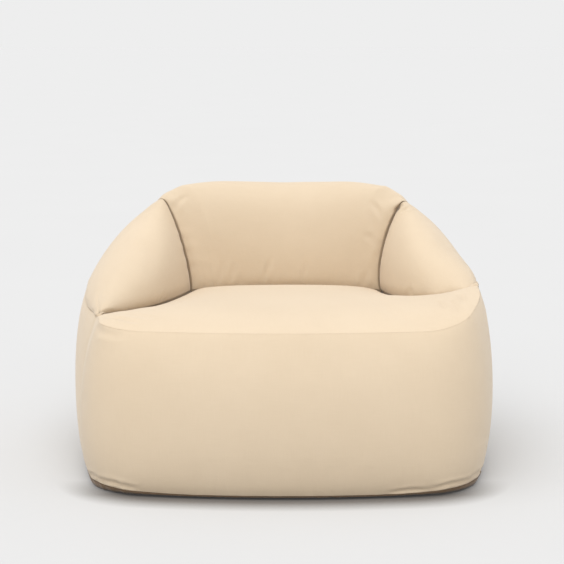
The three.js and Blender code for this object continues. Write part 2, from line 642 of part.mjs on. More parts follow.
function earGeometry(side) {
  const [a, b] = [side * EAR.inner, side * (EAR.inner + EAR.thickness)].sort((x, y) => x - y);
  return block(a, b, -EAR.halfLength, EAR.halfLength, -SLIDER.top - EAR.sunk, PIN.height + EAR.overPin);
}

const sliderBody = sliderGeometry(coverZip, CLOSED_ANGLE, 0,
  TAPE.inner + SLIDER.clear, TAPE.inner + SLIDER.clear + SLIDER.plate);
const sliderEars = [-1, 1].map((side) => placed(earGeometry(side), closedPlace));
const sliderPin = placed(pinGeometry(), closedPlace);
add('zip_slider', joined(sliderBody, sliderPin, ...sliderEars), COLOURS.metal, 0.35, 1);

function tabGeometry() {
  const half = TAB.thickness / 2;
  const start = Math.asin(half / PIN.eyeOuter);
  const profile = new THREE.Shape();
  profile.absarc(0, 0, PIN.eyeOuter, start, 2 * Math.PI - start, false);
  profile.lineTo(TAB.neckEnd + 1, -half);
  profile.lineTo(TAB.neckEnd + 1, half);
  const eye = new THREE.Path();
  eye.absarc(0, 0, PIN.eye, 0, 2 * Math.PI, true);
  profile.holes.push(eye);
  const options = { depth: 2 * TAB.halfNeck, bevelEnabled: false, curveSegments: 8 };
  const neck = new THREE.ExtrudeGeometry(profile, options)
    .translate(0, 0, -TAB.halfNeck).rotateY(Math.PI / 2).rotateX(Math.PI / 2);
  const grip = block(-TAB.halfWidth, TAB.halfWidth, TAB.neckEnd, TAB.length, -half, half);
  return joined(neck, grip).translate(0, 0, PIN.height);
}
add('zip_pull_tab', placed(tabGeometry(), closedPlace), COLOURS.metal, 0.35, 1);

// a sack's zip: each half is one tape with its coil, and a slider without a pull
const SACK_ZIP = {
  flat: 5, far: 12, tapeOuter: 6.5, tapeInner: 7.0, coilOuter: 5.0, fall: 1, plate: 0.7, steps: 20,
};

function addSackZip(name, section, rows) {
  const frame = zipFrame(section, (rows[0] + rows[1]) / 2);
  const half = [[COIL.near, SACK_ZIP.coilOuter], [COIL.far, SACK_ZIP.coilOuter],
    [COIL.far, SACK_ZIP.tapeOuter], [SACK_ZIP.flat, SACK_ZIP.tapeOuter],
    [SACK_ZIP.far, SACK_ZIP.tapeOuter + SACK_ZIP.fall],
    [SACK_ZIP.far, SACK_ZIP.tapeInner + SACK_ZIP.fall], [SACK_ZIP.flat, SACK_ZIP.tapeInner],
    [COIL.near, SACK_ZIP.tapeInner]];
  [['upper', 1], ['lower', -1]].forEach(([level, side]) => {
    add(`${name}_zip_${level}_half`, sweep(frame, mirrored(half, side),
      -SACK_ZIP_HALF_ANGLE, SACK_ZIP_HALF_ANGLE, SACK_ZIP.steps), COLOURS.sack, 0.6);
  });
  const closed = SACK_ZIP_HALF_ANGLE - (SLIDER.halfLength + END_CLEAR) / REAR_RADIUS;
  const bottomInner = SACK_ZIP.tapeInner + SLIDER.clear;
  add(`${name}_zip_slider`, sliderGeometry(frame, closed, SACK_ZIP.coilOuter, bottomInner,
    bottomInner + SACK_ZIP.plate), COLOURS.metal, 0.35, 1);
}
addSackZip('seat_sack', 'wall', SEAT_SACK_ZIP_ROWS);
addSackZip('bolster_sack', 'shoulder', BOLSTER_ZIP_BAND);

// ---------------------------------------------------------------- care label, blank, on the rear seam
const LABEL = { width: 32, drop: 46, belowSeam: 4, thickness: 0.6, clear: 0.5, angle: degToRad(-8) };

function labelGeometry() {
  const topHeight = REAR_SEAM_HEIGHT - LABEL.belowSeam;
  const heights = [topHeight, topHeight - LABEL.drop];
  const [top, low] = heights.map((height) => zipFrame('wall', profilePlace('wall', height)));
  const outerDepth = -LABEL.clear - LABEL.thickness;
  const rims = [low.at(0, -LABEL.clear), low.at(0, outerDepth),
    top.at(0, outerDepth), top.at(0, -LABEL.clear)];
  const frame = { at: (index) => rims[index].clone() };
  const half = LABEL.width / 2 / REAR_RADIUS;
  return sweep(frame, rims.map((_, i) => [i, 0]), LABEL.angle - half, LABEL.angle + half, 2);
}
add('care_label', labelGeometry(), COLOURS.label, 0.7);

// ---------------------------------------------------------------- where the moving pieces turn
const acrossChain = new THREE.Vector3().setFromMatrixColumn(closedPlace, 0);
chair.userData.pivots = {
  zip_sliders: { point: [0, REAR_CENTRE_Y, ZIP_HEIGHT], axis: [0, 0, 1] },
  zip_pull_tab: {
    point: new THREE.Vector3(0, 0, PIN.height).applyMatrix4(closedPlace).toArray(),
    axis: acrossChain.toArray(),
  },
  cover_slider_travel_deg: THREE.MathUtils.radToDeg(2 * CLOSED_ANGLE),
};

export default chair;
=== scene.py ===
import math

import bpy
import numpy as np
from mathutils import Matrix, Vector
from mathutils.bvhtree import BVHTree


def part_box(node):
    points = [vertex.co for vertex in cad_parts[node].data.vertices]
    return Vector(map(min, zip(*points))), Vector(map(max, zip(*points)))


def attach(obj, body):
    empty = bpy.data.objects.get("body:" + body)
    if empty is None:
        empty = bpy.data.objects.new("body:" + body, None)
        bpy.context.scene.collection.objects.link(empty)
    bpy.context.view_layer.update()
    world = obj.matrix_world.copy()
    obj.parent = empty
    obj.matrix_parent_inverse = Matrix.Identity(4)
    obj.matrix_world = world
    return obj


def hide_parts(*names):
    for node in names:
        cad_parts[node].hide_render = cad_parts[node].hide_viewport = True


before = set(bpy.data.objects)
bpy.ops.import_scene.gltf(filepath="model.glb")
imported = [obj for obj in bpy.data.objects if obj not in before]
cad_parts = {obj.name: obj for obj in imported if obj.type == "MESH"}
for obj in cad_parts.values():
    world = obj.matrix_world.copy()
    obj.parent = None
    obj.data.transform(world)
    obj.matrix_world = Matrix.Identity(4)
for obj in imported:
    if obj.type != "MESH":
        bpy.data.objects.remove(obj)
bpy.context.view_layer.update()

# ------------------------------------------------------------------ driving dimensions, metres
WIDTH = 0.960
DEPTH = 0.880
SETTLING = 0.008                   # the cloth trial and the smoothing lower the top by this much
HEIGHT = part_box("backrest_panel")[1].z + SETTLING
FRONT_SEAM_HEIGHT = 0.352
REAR_SEAM_HEIGHT = 0.450
CREASE_HEIGHT = 0.356
SEAT_CROWN_HEIGHT = 0.376
HEM_HEIGHT = {"front": 0.009, "side": 0.016}

FRONT_RADIUS = 1.900
FRONT_CORNER_RADIUS = 0.165
SIDE_RADIUS = 1.300
SIDE_CENTRE_Y = 0.020
REAR_CORNER_RADIUS = 0.250
REAR_RADIUS = 0.900
REAR_CENTRE_Y = DEPTH / 2 - REAR_RADIUS

# places along the plan outline: 0 is the middle of the front, 1 the middle of the back
CORNER_START = 0.20
CORNER_END = 0.42
ARM_TIP = 0.445
SACK_START = 0.50
REAR_TURN = (0.50, 0.80)
BACK_SEAM = 0.745
SHOULDER = 0.815

# how far each line lies inside the plan outline
BASE_INSET = {"front": 0.060, "side": 0.026}
HEM_INSET = 0.016
FRONT_SEAM_INSET = 0.052
SIDE_SEAM_INSET = 0.025
REAR_SEAM_INSET = 0.036
ARM_SWELL_END = 0.35

# handles of the profile curves
WALL_BULGE = {"front": 0.0335, "side": 0.022, "rear": 0.0325}
WALL_ROLL = {"front": 0.052, "side": 0.034}
WALL_RISE = 0.090
WALL_DROP = {"front": 0.075, "side": 0.110}
HEM_ROUND = 0.6
HEM_LIFT = (0.12, 0.30)            # the front of the hem lies low, and the corners are lifted
BASE_TURN = (0.16, 0.34)
ROLL_INSIDE = {"run": 0.7, "rise": 0.72, "undercut": 0.08}
# how far these lower the low handle of the roll's inside, and move it towards the seat
BACK_LEAN = {"rise": 0.16, "lean": 0.04}
BACK_LEAN_BLEND = 0.10
ARM_SLOPE = {"run": 0.10, "rise": 0.34, "lean": 0.22}
ARM_SLOPE_FADE = 0.62

CREASE_CORNER = np.array([0.238, 0.192])
CREASE_BOW = 0.012
CREASE_CORNER_HEIGHT = 0.348
CREASE_CORNER_RUN = 0.045
CREASE_TIP_RUN = 0.040             # the crease leaves the arm tip towards the middle
SEAT_CENTRE_Y = -0.110
SEAT_FLATNESS = 4

MIDDLE_FADE = {"front": 0.10, "back": 0.22}    # the two sides meet over this stretch of the outline

# the beads have settled unevenly, so these have a left and a right value
TIP_SLIDE = (0.082, -0.010)        # the arm tip has slid forward along the outline by this much
TIP_SLIDE_REACH = 0.13
TIP_HEIGHT = (0.360, 0.406)
TIP_INSET = (0.016, 0.007)         # the slumped tip lies further in on the deck
TIP_INSET_REACH = 0.055
SIDE_SWELL = (0.011, -0.012)       # how much the beads push the side of the arm out
SIDE_SWELL_PLACE = 0.60
SIDE_SWELL_REACH = 0.11
ARM_RIDGE_INSET = (0.078, 0.092)
BACK_RIDGE_INSET = (0.152, 0.158)
RIDGE_SLIDE = (0.022, 0.034)       # the back seam crosses the ridge this much nearer the front
SHOULDER_TUCK = (0.012, 0.017)     # how far the ridge is drawn in beside the back seam
SHOULDER_TUCK_PLACE = 0.69
SHOULDER_TUCK_REACH = 0.075
ROLL_OUTSIDE_RISE = (0.2, 0.12)
ROLL_OUTSIDE_RUN = (0.557, 0.44)
CREASE_SHIFT = (0.011, -0.001)
CREASE_TIP_PUSH = (-0.020, -0.010)    # the crease leaves the arm tip a little towards the back
CREASE_CORNER_PUSH = (-0.200, -0.270)
CREASE_DROP_RATE = (1.5, 2.1)
CREASE_ARCH = (0.0, 0.012)
SEAM_LEAN = (0.0, 0.022)           # the arm bulges over the foot of the back seam
SEAM_SLACK = (0.55, 0.50)          # how much straighter the roll is beside the back seam
SEAM_SLACK_REACH = 0.07

ZIP_HEIGHT = 0.100
ZIP_HALF_OPENING = 0.007
ZIP_HALF_ANGLE = math.radians(18.6)
SACK_ZIP_HEIGHT = 0.210
SACK_ZIP_HALF_OPENING = 0.005
SACK_ZIP_HALF_ANGLE = math.radians(9.3)
BOLSTER_ZIP_BAND = (0.34, 0.40)

PANEL_STEP = 0.006
CLOTH_STEP = 0.013
SACK_STEP = 0.012
HEM_LENGTH, WALL_LENGTH, SHOULDER_LENGTH, FACE_LENGTH = 0.021, 0.43, 0.21, 0.27
DIVIDER_LENGTH = 0.19
DISC_RADIUS = 0.34
PROFILE_PLACES = 20001
SEAM_STEPS = [0.0, 0.0005, 0.0012, 0.0021, 0.0032, 0.0046, 0.0064, 0.0088]
FINE_SHARE = 0.4                   # the fine steps take up no more than this of a stretch


# ------------------------------------------------------------------ small maths
def lerp(a, b, t):
    return a + (b - a) * t


def smoothstep(x, low, high):
    t = np.clip((x - low) / (high - low), 0.0, 1.0)
    return t * t * (3 - 2 * t)


def column(values):
    return np.asarray(values)[..., None]


def side_of(u):
    return np.where(u < 0, -1.0, 1.0)


def beside(u, place, reach):
    """1 at a place of the outline, and less and less on both sides of it."""
    return np.exp(-((np.abs(u) - place) / reach) ** 2)


def sided(u, pair):
    """The left value where u is negative, the right one where not, and their mean in the middle."""
    u = np.asarray(u, float)
    from_front = smoothstep(np.abs(u), 0.0, MIDDLE_FADE["front"])
    share = smoothstep(1 - np.abs(u), 0.0, MIDDLE_FADE["back"]) * from_front
    mean, half = (pair[0] + pair[1]) / 2, (pair[1] - pair[0]) / 2
    return mean + np.where(u < 0, -half, half) * share


def bezier(a, b, c, d, t):
    t = column(t)
    s = 1 - t
    return a * s ** 3 + 3 * b * s ** 2 * t + 3 * c * s * t ** 2 + d * t ** 3


def length_of(vectors):
    return np.linalg.norm(vectors, axis=-1)


def unit(vectors):
    return vectors / np.maximum(length_of(vectors), 1e-12)[..., None]


# ------------------------------------------------------------------ plan outline
def circle_crossing(a, radius_a, b, radius_b, score):
    span = b - a
    distance = np.hypot(*span)
    along = (radius_a ** 2 - radius_b ** 2 + distance ** 2) / (2 * distance)
    across = math.sqrt(max(0.0, radius_a ** 2 - along ** 2))
    ray = span / distance
    side = np.array([-ray[1], ray[0]])
    found = [a + ray * along + side * across, a + ray * along - side * across]
    return max(found, key=score)


def make_outline():
    front = np.array([0.0, -DEPTH / 2 + FRONT_RADIUS])
    side = np.array([WIDTH / 2 - SIDE_RADIUS, SIDE_CENTRE_Y])
    rear = np.array([0.0, REAR_CENTRE_Y])
    front_corner = circle_crossing(front, FRONT_RADIUS - FRONT_CORNER_RADIUS,
                                   side, SIDE_RADIUS - FRONT_CORNER_RADIUS, lambda p: p[0] - p[1])
    rear_corner = circle_crossing(rear, REAR_RADIUS - REAR_CORNER_RADIUS,
                                  side, SIDE_RADIUS - REAR_CORNER_RADIUS, lambda p: p[0] + p[1])

    def bearing(start, end):
        return math.atan2(end[1] - start[1], end[0] - start[0])

    turns = np.array([-math.pi / 2, bearing(front, front_corner), bearing(side, front_corner),
                      bearing(side, rear_corner), bearing(rear, rear_corner), math.pi / 2])
    centres = np.array([front, front_corner, side, rear_corner, rear])
    radii = np.array([FRONT_RADIUS, FRONT_CORNER_RADIUS, SIDE_RADIUS, REAR_CORNER_RADIUS, REAR_RADIUS])
    ends = np.concatenate([[0.0], np.cumsum(radii * np.diff(turns))])
    return centres, radii, turns, ends / ends[-1], ends[-1]


ARC_CENTRES, ARC_RADII, ARC_TURNS, ARC_ENDS, HALF_LENGTH = make_outline()
ZIP_END = 1 - ZIP_HALF_ANGLE * REAR_RADIUS / HALF_LENGTH
SACK_ZIP_END = 1 - SACK_ZIP_HALF_ANGLE * REAR_RADIUS / HALF_LENGTH


def plan_point(u, inset):
    """Point of the outline at place u, moved inwards, and the outward direction there."""
    u, inset = np.broadcast_arrays(np.asarray(u, float), np.asarray(inset, float))
    place = np.minimum(np.abs(u), 1.0)
    arc = np.searchsorted(ARC_ENDS[1:5], place, side="left")
    angle = ARC_TURNS[arc] + (place - ARC_ENDS[arc]) * HALF_LENGTH / ARC_RADII[arc]
    angle = np.minimum(angle, ARC_TURNS[arc + 1])
    side = side_of(u)
    flat = np.zeros_like(place)
    normal = np.stack([side * np.cos(angle), np.sin(angle), flat], -1)
    reach = ARC_RADII[arc] - inset
    point = np.stack([side * (ARC_CENTRES[arc, 0] + reach * np.cos(angle)),
                      ARC_CENTRES[arc, 1] + reach * np.sin(angle), flat], -1)
    return point, normal


# ------------------------------------------------------------------ lines that the panels meet on
UP = np.array([0.0, 0.0, 1.0])
SEAT_CENTRE = np.array([0.0, SEAT_CENTRE_Y, SEAT_CROWN_HEIGHT])


def seam_inset(place):
    to_side = smoothstep(place, CORNER_START, CORNER_END)
    to_rear = smoothstep(place, *REAR_TURN)
    return lerp(FRONT_SEAM_INSET, SIDE_SEAM_INSET, to_side) + (REAR_SEAM_INSET - SIDE_SEAM_INSET) * to_rear


def settled(u):
    """Where on the outline a place of the sewn cover has come to lie."""
    u = np.asarray(u, float)
    slide = sided(u, TIP_SLIDE) * beside(u, ARM_TIP, TIP_SLIDE_REACH)
    return side_of(u) * (np.abs(u) - slide)


def tip_inset(u):
    return sided(u, TIP_INSET) * beside(u, ARM_TIP, TIP_INSET_REACH)


def belt_point(u):
    place = np.abs(u)
    spot = settled(u)
    swell = sided(u, SIDE_SWELL) * beside(u, SIDE_SWELL_PLACE, SIDE_SWELL_REACH)
    point, normal = plan_point(spot, seam_inset(np.abs(spot)) + tip_inset(u) - swell)
    point = point.copy()
    tip = sided(u, TIP_HEIGHT)
    point[..., 2] = (lerp(FRONT_SEAM_HEIGHT, tip, smoothstep(place, CORNER_START, ARM_TIP))
                     + (REAR_SEAM_HEIGHT - tip) * smoothstep(place, ARM_TIP, SHOULDER))
    return point, normal


def shoulder_rise(t):
    ease = 0.2
    eased = t - (t - 1 + ease) ** 2 / (4 * ease)
    return np.where(t < 1 - ease, np.maximum(t, 0), np.where(t < 1 + ease, eased, 1.0))


def ridge_point(u):
    u = np.asarray(u, float)
    slide = sided(u, RIDGE_SLIDE) * beside(u, BACK_SEAM, SEAM_SLACK_REACH)
    u = side_of(u) * (np.abs(u) - slide)
    t = (np.abs(u) - ARM_TIP) / (SHOULDER - ARM_TIP)
    spot = settled(u)
    arm, back = sided(u, ARM_RIDGE_INSET), sided(u, BACK_RIDGE_INSET)
    start = seam_inset(np.abs(spot)) + tip_inset(u)
    inset = lerp(start, arm, smoothstep(t, 0, ARM_SWELL_END)) + (back - arm) * np.clip(t, 0, 1)
    inset += sided(u, SHOULDER_TUCK) * beside(u, SHOULDER_TUCK_PLACE, SHOULDER_TUCK_REACH)
    point = plan_point(spot, inset)[0].copy()
    point[..., 2] = lerp(belt_point(u)[0][..., 2], HEIGHT, shoulder_rise(t))
    return point


def crease_point(u):
    u = np.asarray(u, float)
    place = np.abs(u)
    side = side_of(u)
    back = (1 - place) / (1 - BACK_SEAM)
    shift = sided(u, CREASE_SHIFT)
    along_back = np.stack([side * CREASE_CORNER[0] * back + shift * np.minimum(back, 1),
                           CREASE_CORNER[1] + CREASE_BOW * (1 - back ** 2),
                           lerp(CREASE_HEIGHT, CREASE_CORNER_HEIGHT, back ** 2)], -1)
    t = np.clip((place - ARM_TIP) / (BACK_SEAM - ARM_TIP), 0, 1)
    tip = belt_point(side * ARM_TIP)[0]
    start = tip[..., :2]
    corner = np.stack([side * CREASE_CORNER[0] + shift, np.full_like(side, CREASE_CORNER[1])], -1)
    tip_handle = np.stack([side * CREASE_TIP_RUN, sided(u, CREASE_TIP_PUSH)], -1)
    corner_handle = np.stack([side * CREASE_CORNER_RUN, sided(u, CREASE_CORNER_PUSH)], -1)
    path = bezier(start, start - tip_handle, corner + corner_handle, corner, t)
    drop = lerp(tip[..., 2], CREASE_CORNER_HEIGHT, smoothstep(sided(u, CREASE_DROP_RATE) * t, 0, 1))
    drop = drop + sided(u, CREASE_ARCH) * np.sin(math.pi * t) ** 2
    along_arm = np.stack([path[..., 0], path[..., 1], drop], -1)
    point = np.where(column(place >= BACK_SEAM), along_back, along_arm)
    return np.where(column(place <= ARM_TIP), belt_point(u)[0], point)


# ------------------------------------------------------------------ outer surface, section by section
def hem_height(u):
    return lerp(HEM_HEIGHT["front"], HEM_HEIGHT["side"], smoothstep(np.abs(u), *HEM_LIFT))


def base_edge(u):
    inset = lerp(BASE_INSET["front"], BASE_INSET["side"], smoothstep(np.abs(u), *BASE_TURN))
    return plan_point(settled(u), inset)[0]


def base_section(u, t):
    return base_edge(u) * column(t)


def hem_section(u, t):
    low = base_edge(u)
    out = plan_point(settled(u), HEM_INSET)[0]
    high = out + UP * column(hem_height(u))
    return bezier(low, lerp(low, out, HEM_ROUND), lerp(high, out, HEM_ROUND), high, t)


def wall_section(u, t):
    spot = settled(u)
    point, normal = plan_point(spot, HEM_INSET)
    low = point + UP * column(hem_height(u))
    high = belt_point(u)[0]
    to_side = smoothstep(np.abs(spot), CORNER_START, ARM_TIP)
    to_rear = smoothstep(np.abs(spot), *REAR_TURN)
    bulge = (lerp(WALL_BULGE["front"], WALL_BULGE["side"], to_side)
             + (WALL_BULGE["rear"] - WALL_BULGE["side"]) * to_rear)
    roll = lerp(WALL_ROLL["front"], WALL_ROLL["side"], to_side)
    drop = lerp(WALL_DROP["front"], WALL_DROP["side"], to_side)
    low_handle = low + normal * column(bulge) + UP * WALL_RISE
    high_handle = high + normal * column(roll) - UP * column(drop)
    return bezier(low, low_handle, high_handle, high, t)


def shoulder_section(u, t):
    low = belt_point(u)[0]
    high = ridge_point(u)
    rise = column(high[..., 2] - low[..., 2])
    outward = (low - high) * [1, 1, 0]
    low_handle = low + UP * rise * column(sided(u, ROLL_OUTSIDE_RISE))
    return bezier(low, low_handle, high + outward * column(sided(u, ROLL_OUTSIDE_RUN)), high, t)


def face_section(u, t):
    high = ridge_point(u)
    low = crease_point(u)
    rise = column(high[..., 2] - low[..., 2])
    reach = (low - high) * [1, 1, 0]
    at_seam = beside(u, BACK_SEAM, SEAM_SLACK_REACH)
    firm = column(1 - sided(u, SEAM_SLACK) * at_seam)
    back = smoothstep(np.abs(u), BACK_SEAM, BACK_SEAM + BACK_LEAN_BLEND)
    arm = 1 - smoothstep(np.abs(u), ARM_SLOPE_FADE, BACK_SEAM)
    full = ROLL_INSIDE["run"] - ARM_SLOPE["run"] * arm
    height = column(ROLL_INSIDE["rise"] - BACK_LEAN["rise"] * back - ARM_SLOPE["rise"] * arm)
    undercut = column(ROLL_INSIDE["undercut"] - BACK_LEAN["lean"] * back - ARM_SLOPE["lean"] * arm)
    lean = [1, 0, 0] * column(-side_of(u) * sided(u, SEAM_LEAN) * at_seam)
    low_handle = low + UP * height * rise * firm - reach * undercut * firm + lean
    return bezier(high, high + reach * column(full) * firm, low_handle, low, t)


def seat_section(u, t):
    edge = crease_point(u)
    point = lerp(edge, SEAT_CENTRE, column(t))
    point[..., 2] = lerp(edge[..., 2], SEAT_CENTRE[2], 1 - (1 - t) ** SEAT_FLATNESS)
    return point


def divider_section(u, t):
    return lerp(belt_point(u)[0], crease_point(u), column(t))


ROLL_SECTIONS = ("shoulder", "face")
SECTIONS = {"base": base_section, "hem": hem_section, "wall": wall_section, "shoulder": shoulder_section,
            "face": face_section, "seat": seat_section, "divider": divider_section}


def section_point(section, u, t):
    u, t = np.broadcast_arrays(np.asarray(u, float), np.asarray(t, float))
    return SECTIONS[section](u, t)


def profile_place(section, height):
    """Where the profile in the middle of the back reaches a height."""
    places = np.linspace(0, 1, PROFILE_PLACES)
    heights = section_point(section, np.ones_like(places), places)[:, 2]
    return float(np.interp(height, heights, places))


# ------------------------------------------------------------------ one closed mesh over the whole chair
def graded(length, step, fine_start, fine_end):
    """Steps along a stretch, as shares of it, finer beside a seam."""
    start = [s for s in (SEAM_STEPS if fine_start else [0.0]) if s < FINE_SHARE * length]
    end = [length - s for s in (SEAM_STEPS if fine_end else [0.0]) if s < FINE_SHARE * length][::-1]
    count = max(1, round((end[0] - start[-1]) / step))
    middle = np.linspace(start[-1], end[0], count + 1)[1:-1]
    return np.concatenate([start, middle, end]) / length


def stretch(stops, lengths, fine, step):
    """Places from the first stop to the last, with seams at the stops marked as fine."""
    places = [np.array([stops[0]])]
    for i, length in enumerate(lengths):
        shares = graded(length, step, fine[i], fine[i + 1])
        places.append(lerp(stops[i], stops[i + 1], shares[1:]))
    return np.concatenate(places)


def zip_rows(height, half_opening):
    """Where the lower and the upper edge of a zip's opening cross the rear wall's profile."""
    return [profile_place("wall", height - half_opening), profile_place("wall", height + half_opening)]


ZIP_ROWS = zip_rows(ZIP_HEIGHT, ZIP_HALF_OPENING)
SACK_ZIP_ROWS = zip_rows(SACK_ZIP_HEIGHT, SACK_ZIP_HALF_OPENING)


class ChairMesh:
    """Vertices, faces and, for each face, a tag (section, place, t, side) and its corners' (u, t).

    The whole chair, or with sack=True the seat part alone, which the divider closes at the back."""

    def __init__(self, step, seams, sack=False):
        self.sack = sack
        stops = [0, ARM_TIP, BACK_SEAM, SACK_ZIP_END if sack else ZIP_END, 1]
        half = stretch(stops, [HALF_LENGTH * d for d in np.diff(stops)],
                       [False, seams, seams, seams, False], step)
        while (len(half) - 1) % 4:
            gap = np.argmax(np.diff(half))
            half = np.insert(half, gap + 1, half[gap:gap + 2].mean())
        self.half = half
        self.columns = np.concatenate([half, -half[-2:0:-1]])
        self.width = len(self.columns)
        self.points, self.faces, self.tags, self.cloth = [], [], [], []
        self.info = []
        self.seams, self.step = seams, step
        self.count = 0
        self.build()

    def add(self, section, u, t):
        u, t = np.broadcast_arrays(np.asarray(u, float), np.asarray(t, float))
        self.points.append(section_point(section, u, t))
        self.info.append((section, u.copy(), t.copy()))
        first = self.count
        self.count += len(u)
        return np.arange(first, self.count)

    def build(self):
        hem_top = self.disc("base", None)
        rows = self.band("hem", graded(HEM_LENGTH, self.step / 2, False, self.seams), hem_top)
        stops = [0, *(SACK_ZIP_ROWS if self.sack else ZIP_ROWS), 1]
        wall = stretch(stops, [WALL_LENGTH * d for d in np.diff(stops)], [self.seams] * 4, self.step)
        rows = self.band("wall", wall, rows)
        self.belt = rows
        if self.sack:
            rows = self.band("divider", graded(DIVIDER_LENGTH, self.step, False, False), rows)
        else:
            rows = self.band("shoulder", graded(SHOULDER_LENGTH, self.step, self.seams, False), rows)
            rows = self.band("face", graded(FACE_LENGTH, self.step, False, self.seams), rows)
        self.crease = rows
        self.disc("seat", rows)
        self.points = np.concatenate(self.points)
        self.section = np.concatenate([[name] * len(u) for name, u, t in self.info])
        self.u = np.concatenate([u for name, u, t in self.info])
        self.t = np.concatenate([t for name, u, t in self.info])

    def band(self, section, places, first_row):
        """Rows round the chair; the front, where arms and backrest have no height, stays collapsed."""
        inner = np.abs(self.columns) <= ARM_TIP + 1e-9
        collapsed = section in ("shoulder", "face", "divider")
        row = first_row
        for place, before in zip(places[1:], places[:-1]):
            fresh = self.columns[~inner] if collapsed else self.columns
            ids = self.add(section, fresh, np.full(len(fresh), place))
            new = row.copy()
            new[~inner if collapsed else slice(None)] = ids
            self.quads(section, row, new, before, place)
            row = new
        return row

    def quads(self, section, low, high, before, place):
        for c in range(self.width):
            d = (c + 1) % self.width
            corners = [low[c], low[d], high[d], high[c]]
            left, right = self.columns[c], self.columns[d]
            if c == self.width // 2:
                left, right = -1.0, self.columns[d]
            spots = [(left, before), (right, before), (right, place), (left, place)]
            keep = [i for i in range(4) if corners[i] != corners[(i + 1) % 4]]
            if len({corners[i] for i in keep}) < 3:
                continue
            self.faces.append([int(corners[i]) for i in keep])
            self.cloth.append([spots[i] for i in keep])
            middle = (abs(left) + abs(right)) / 2
            side = "left" if min(left, right) < 0 else "right"
            self.tags.append((section, middle, (before + place) / 2, side))

    def column_at(self, share):
        """Place on the outline for a fractional column number."""
        folded = np.where(share > self.width / 2, self.width - share, share)
        side = np.where(share > self.width / 2, -1.0, 1.0)
        return side * np.interp(folded, np.arange(len(self.half)), self.half)

    def disc(self, section, border):
        """A square grid stretched over a round panel. Its outermost ring is the row of columns."""
        n = self.width // 8
        shares = graded(DISC_RADIUS, DISC_RADIUS / n, False, self.seams and section == "seat")
        rings = np.interp(np.arange(n + 1), np.linspace(0, n, len(shares)), shares)
        places = 1 - rings if section == "seat" else rings
        ids = {}
        for k in range(n + 1):
            if k == 0:
                ids[0] = self.add(section, [0.0], [places[0]])
            elif k == n and border is not None:
                ids[k] = border
            else:
                q = np.arange(8 * k) / (8 * k) * self.width
                u = self.column_at(q) if k < n else self.columns
                ids[k] = self.add(section, u, np.full(8 * k, places[k]))

        def at(a, b):
            k = max(abs(a), abs(b))
            if k == 0:
                return ids[0][0]
            if b == -k:
                q = a if a >= 0 else 8 * k + a
            elif a == k:
                q = k + (b + k)
            elif b == k:
                q = 3 * k + (k - a)
            else:
                q = 5 * k + (k - b)
            return ids[k][q % (8 * k)]

        for a in range(-n, n):
            for b in range(-n, n):
                corners = [at(a, b), at(a + 1, b), at(a + 1, b + 1), at(a, b + 1)]
                if section == "base":
                    corners.reverse()
                self.faces.append([int(c) for c in corners])
                self.cloth.append(None)
                self.tags.append((section, 0.0, 0.0, ""))
        return ids[n]


def triangles_of(faces):
    return np.array([[f[0], f[i], f[i + 1]] for f in faces for i in range(1, len(f) - 1)])


def vertex_normals(points, triangles):
    a, b, c = (points[triangles[:, i]] for i in range(3))
    normals = np.cross(b - a, c - a)
    total = np.zeros_like(points)
    for i in range(3):
        np.add.at(total, triangles[:, i], normals)
    return unit(total)


def smoothed(values, triangles, rounds, share=0.5):
    """Each value moves towards the mean of its neighbours."""
    pairs = np.concatenate([triangles[:, [0, 1]], triangles[:, [1, 2]], triangles[:, [2, 0]]])
    pairs = np.unique(np.concatenate([pairs, pairs[:, ::-1]]), axis=0)
    counts = np.bincount(pairs[:, 0], minlength=len(values)).reshape(-1, *[1] * (values.ndim - 1))
    for _ in range(rounds):
        total = np.zeros_like(values)
        np.add.at(total, pairs[:, 0], values[pairs[:, 1]])
        values = values + (total / np.maximum(counts, 1) - values) * share
    return values


# ------------------------------------------------------------------ distances to the seams
def seam_distances(mesh):
    """For each vertex, its distance to each kind of seam, along the surface."""
    far = 1.0
    u, t, section, points = mesh.u, mesh.t, mesh.section, mesh.points
    place = np.abs(u)
    found = {name: np.full(len(points), far) for name in ("hem", "belt", "crease", "front", "back", "zip")}

    def measure(kind, where, section_name, at_u=None, at_t=None):
        chosen = np.where(where)[0]
        if not len(chosen):
            return
        ref_u = u[chosen] if at_u is None else side_of(u[chosen]) * at_u
        ref_t = t[chosen] if at_t is None else np.full(len(chosen), at_t)
        gap = length_of(section_point(section_name, ref_u, ref_t) - points[chosen])
        found[kind][chosen] = np.minimum(found[kind][chosen], gap)

    measure("hem", section == "hem", "hem", at_t=1.0)
    measure("hem", section == "wall", "wall", at_t=0.0)
    measure("belt", section == "wall", "wall", at_t=1.0)
    measure("belt", section == "shoulder", "shoulder", at_t=0.0)
    measure("belt", (section == "seat") & (place < ARM_TIP), "seat", at_t=0.0)
    measure("belt", section == "divider", "divider", at_t=0.0)
    measure("crease", section == "divider", "divider", at_t=1.0)
    measure("crease", section == "face", "face", at_t=1.0)
    measure("crease", (section == "seat") & (place >= ARM_TIP), "seat", at_t=0.0)
    measure("front", section == "wall", "wall", at_u=ARM_TIP)
    for name in ("wall", "shoulder", "face"):
        measure("back", section == name, name, at_u=BACK_SEAM)
    rear_wall = (section == "wall") & (place > BACK_SEAM - 1e-9)
    measure("zip", rear_wall, "wall", at_t=ZIP_ROWS[0])
    opened = rear_wall & (place > ZIP_END - 1e-9) & (t > ZIP_ROWS[0])
    measure("zip", opened, "wall", at_t=ZIP_ROWS[1])
    return found


WAVE_PITCHES = (0.6, 1.9)          # the parts of a wave have wavelengths between these shares of it
WAVE_SIZE = 2.2


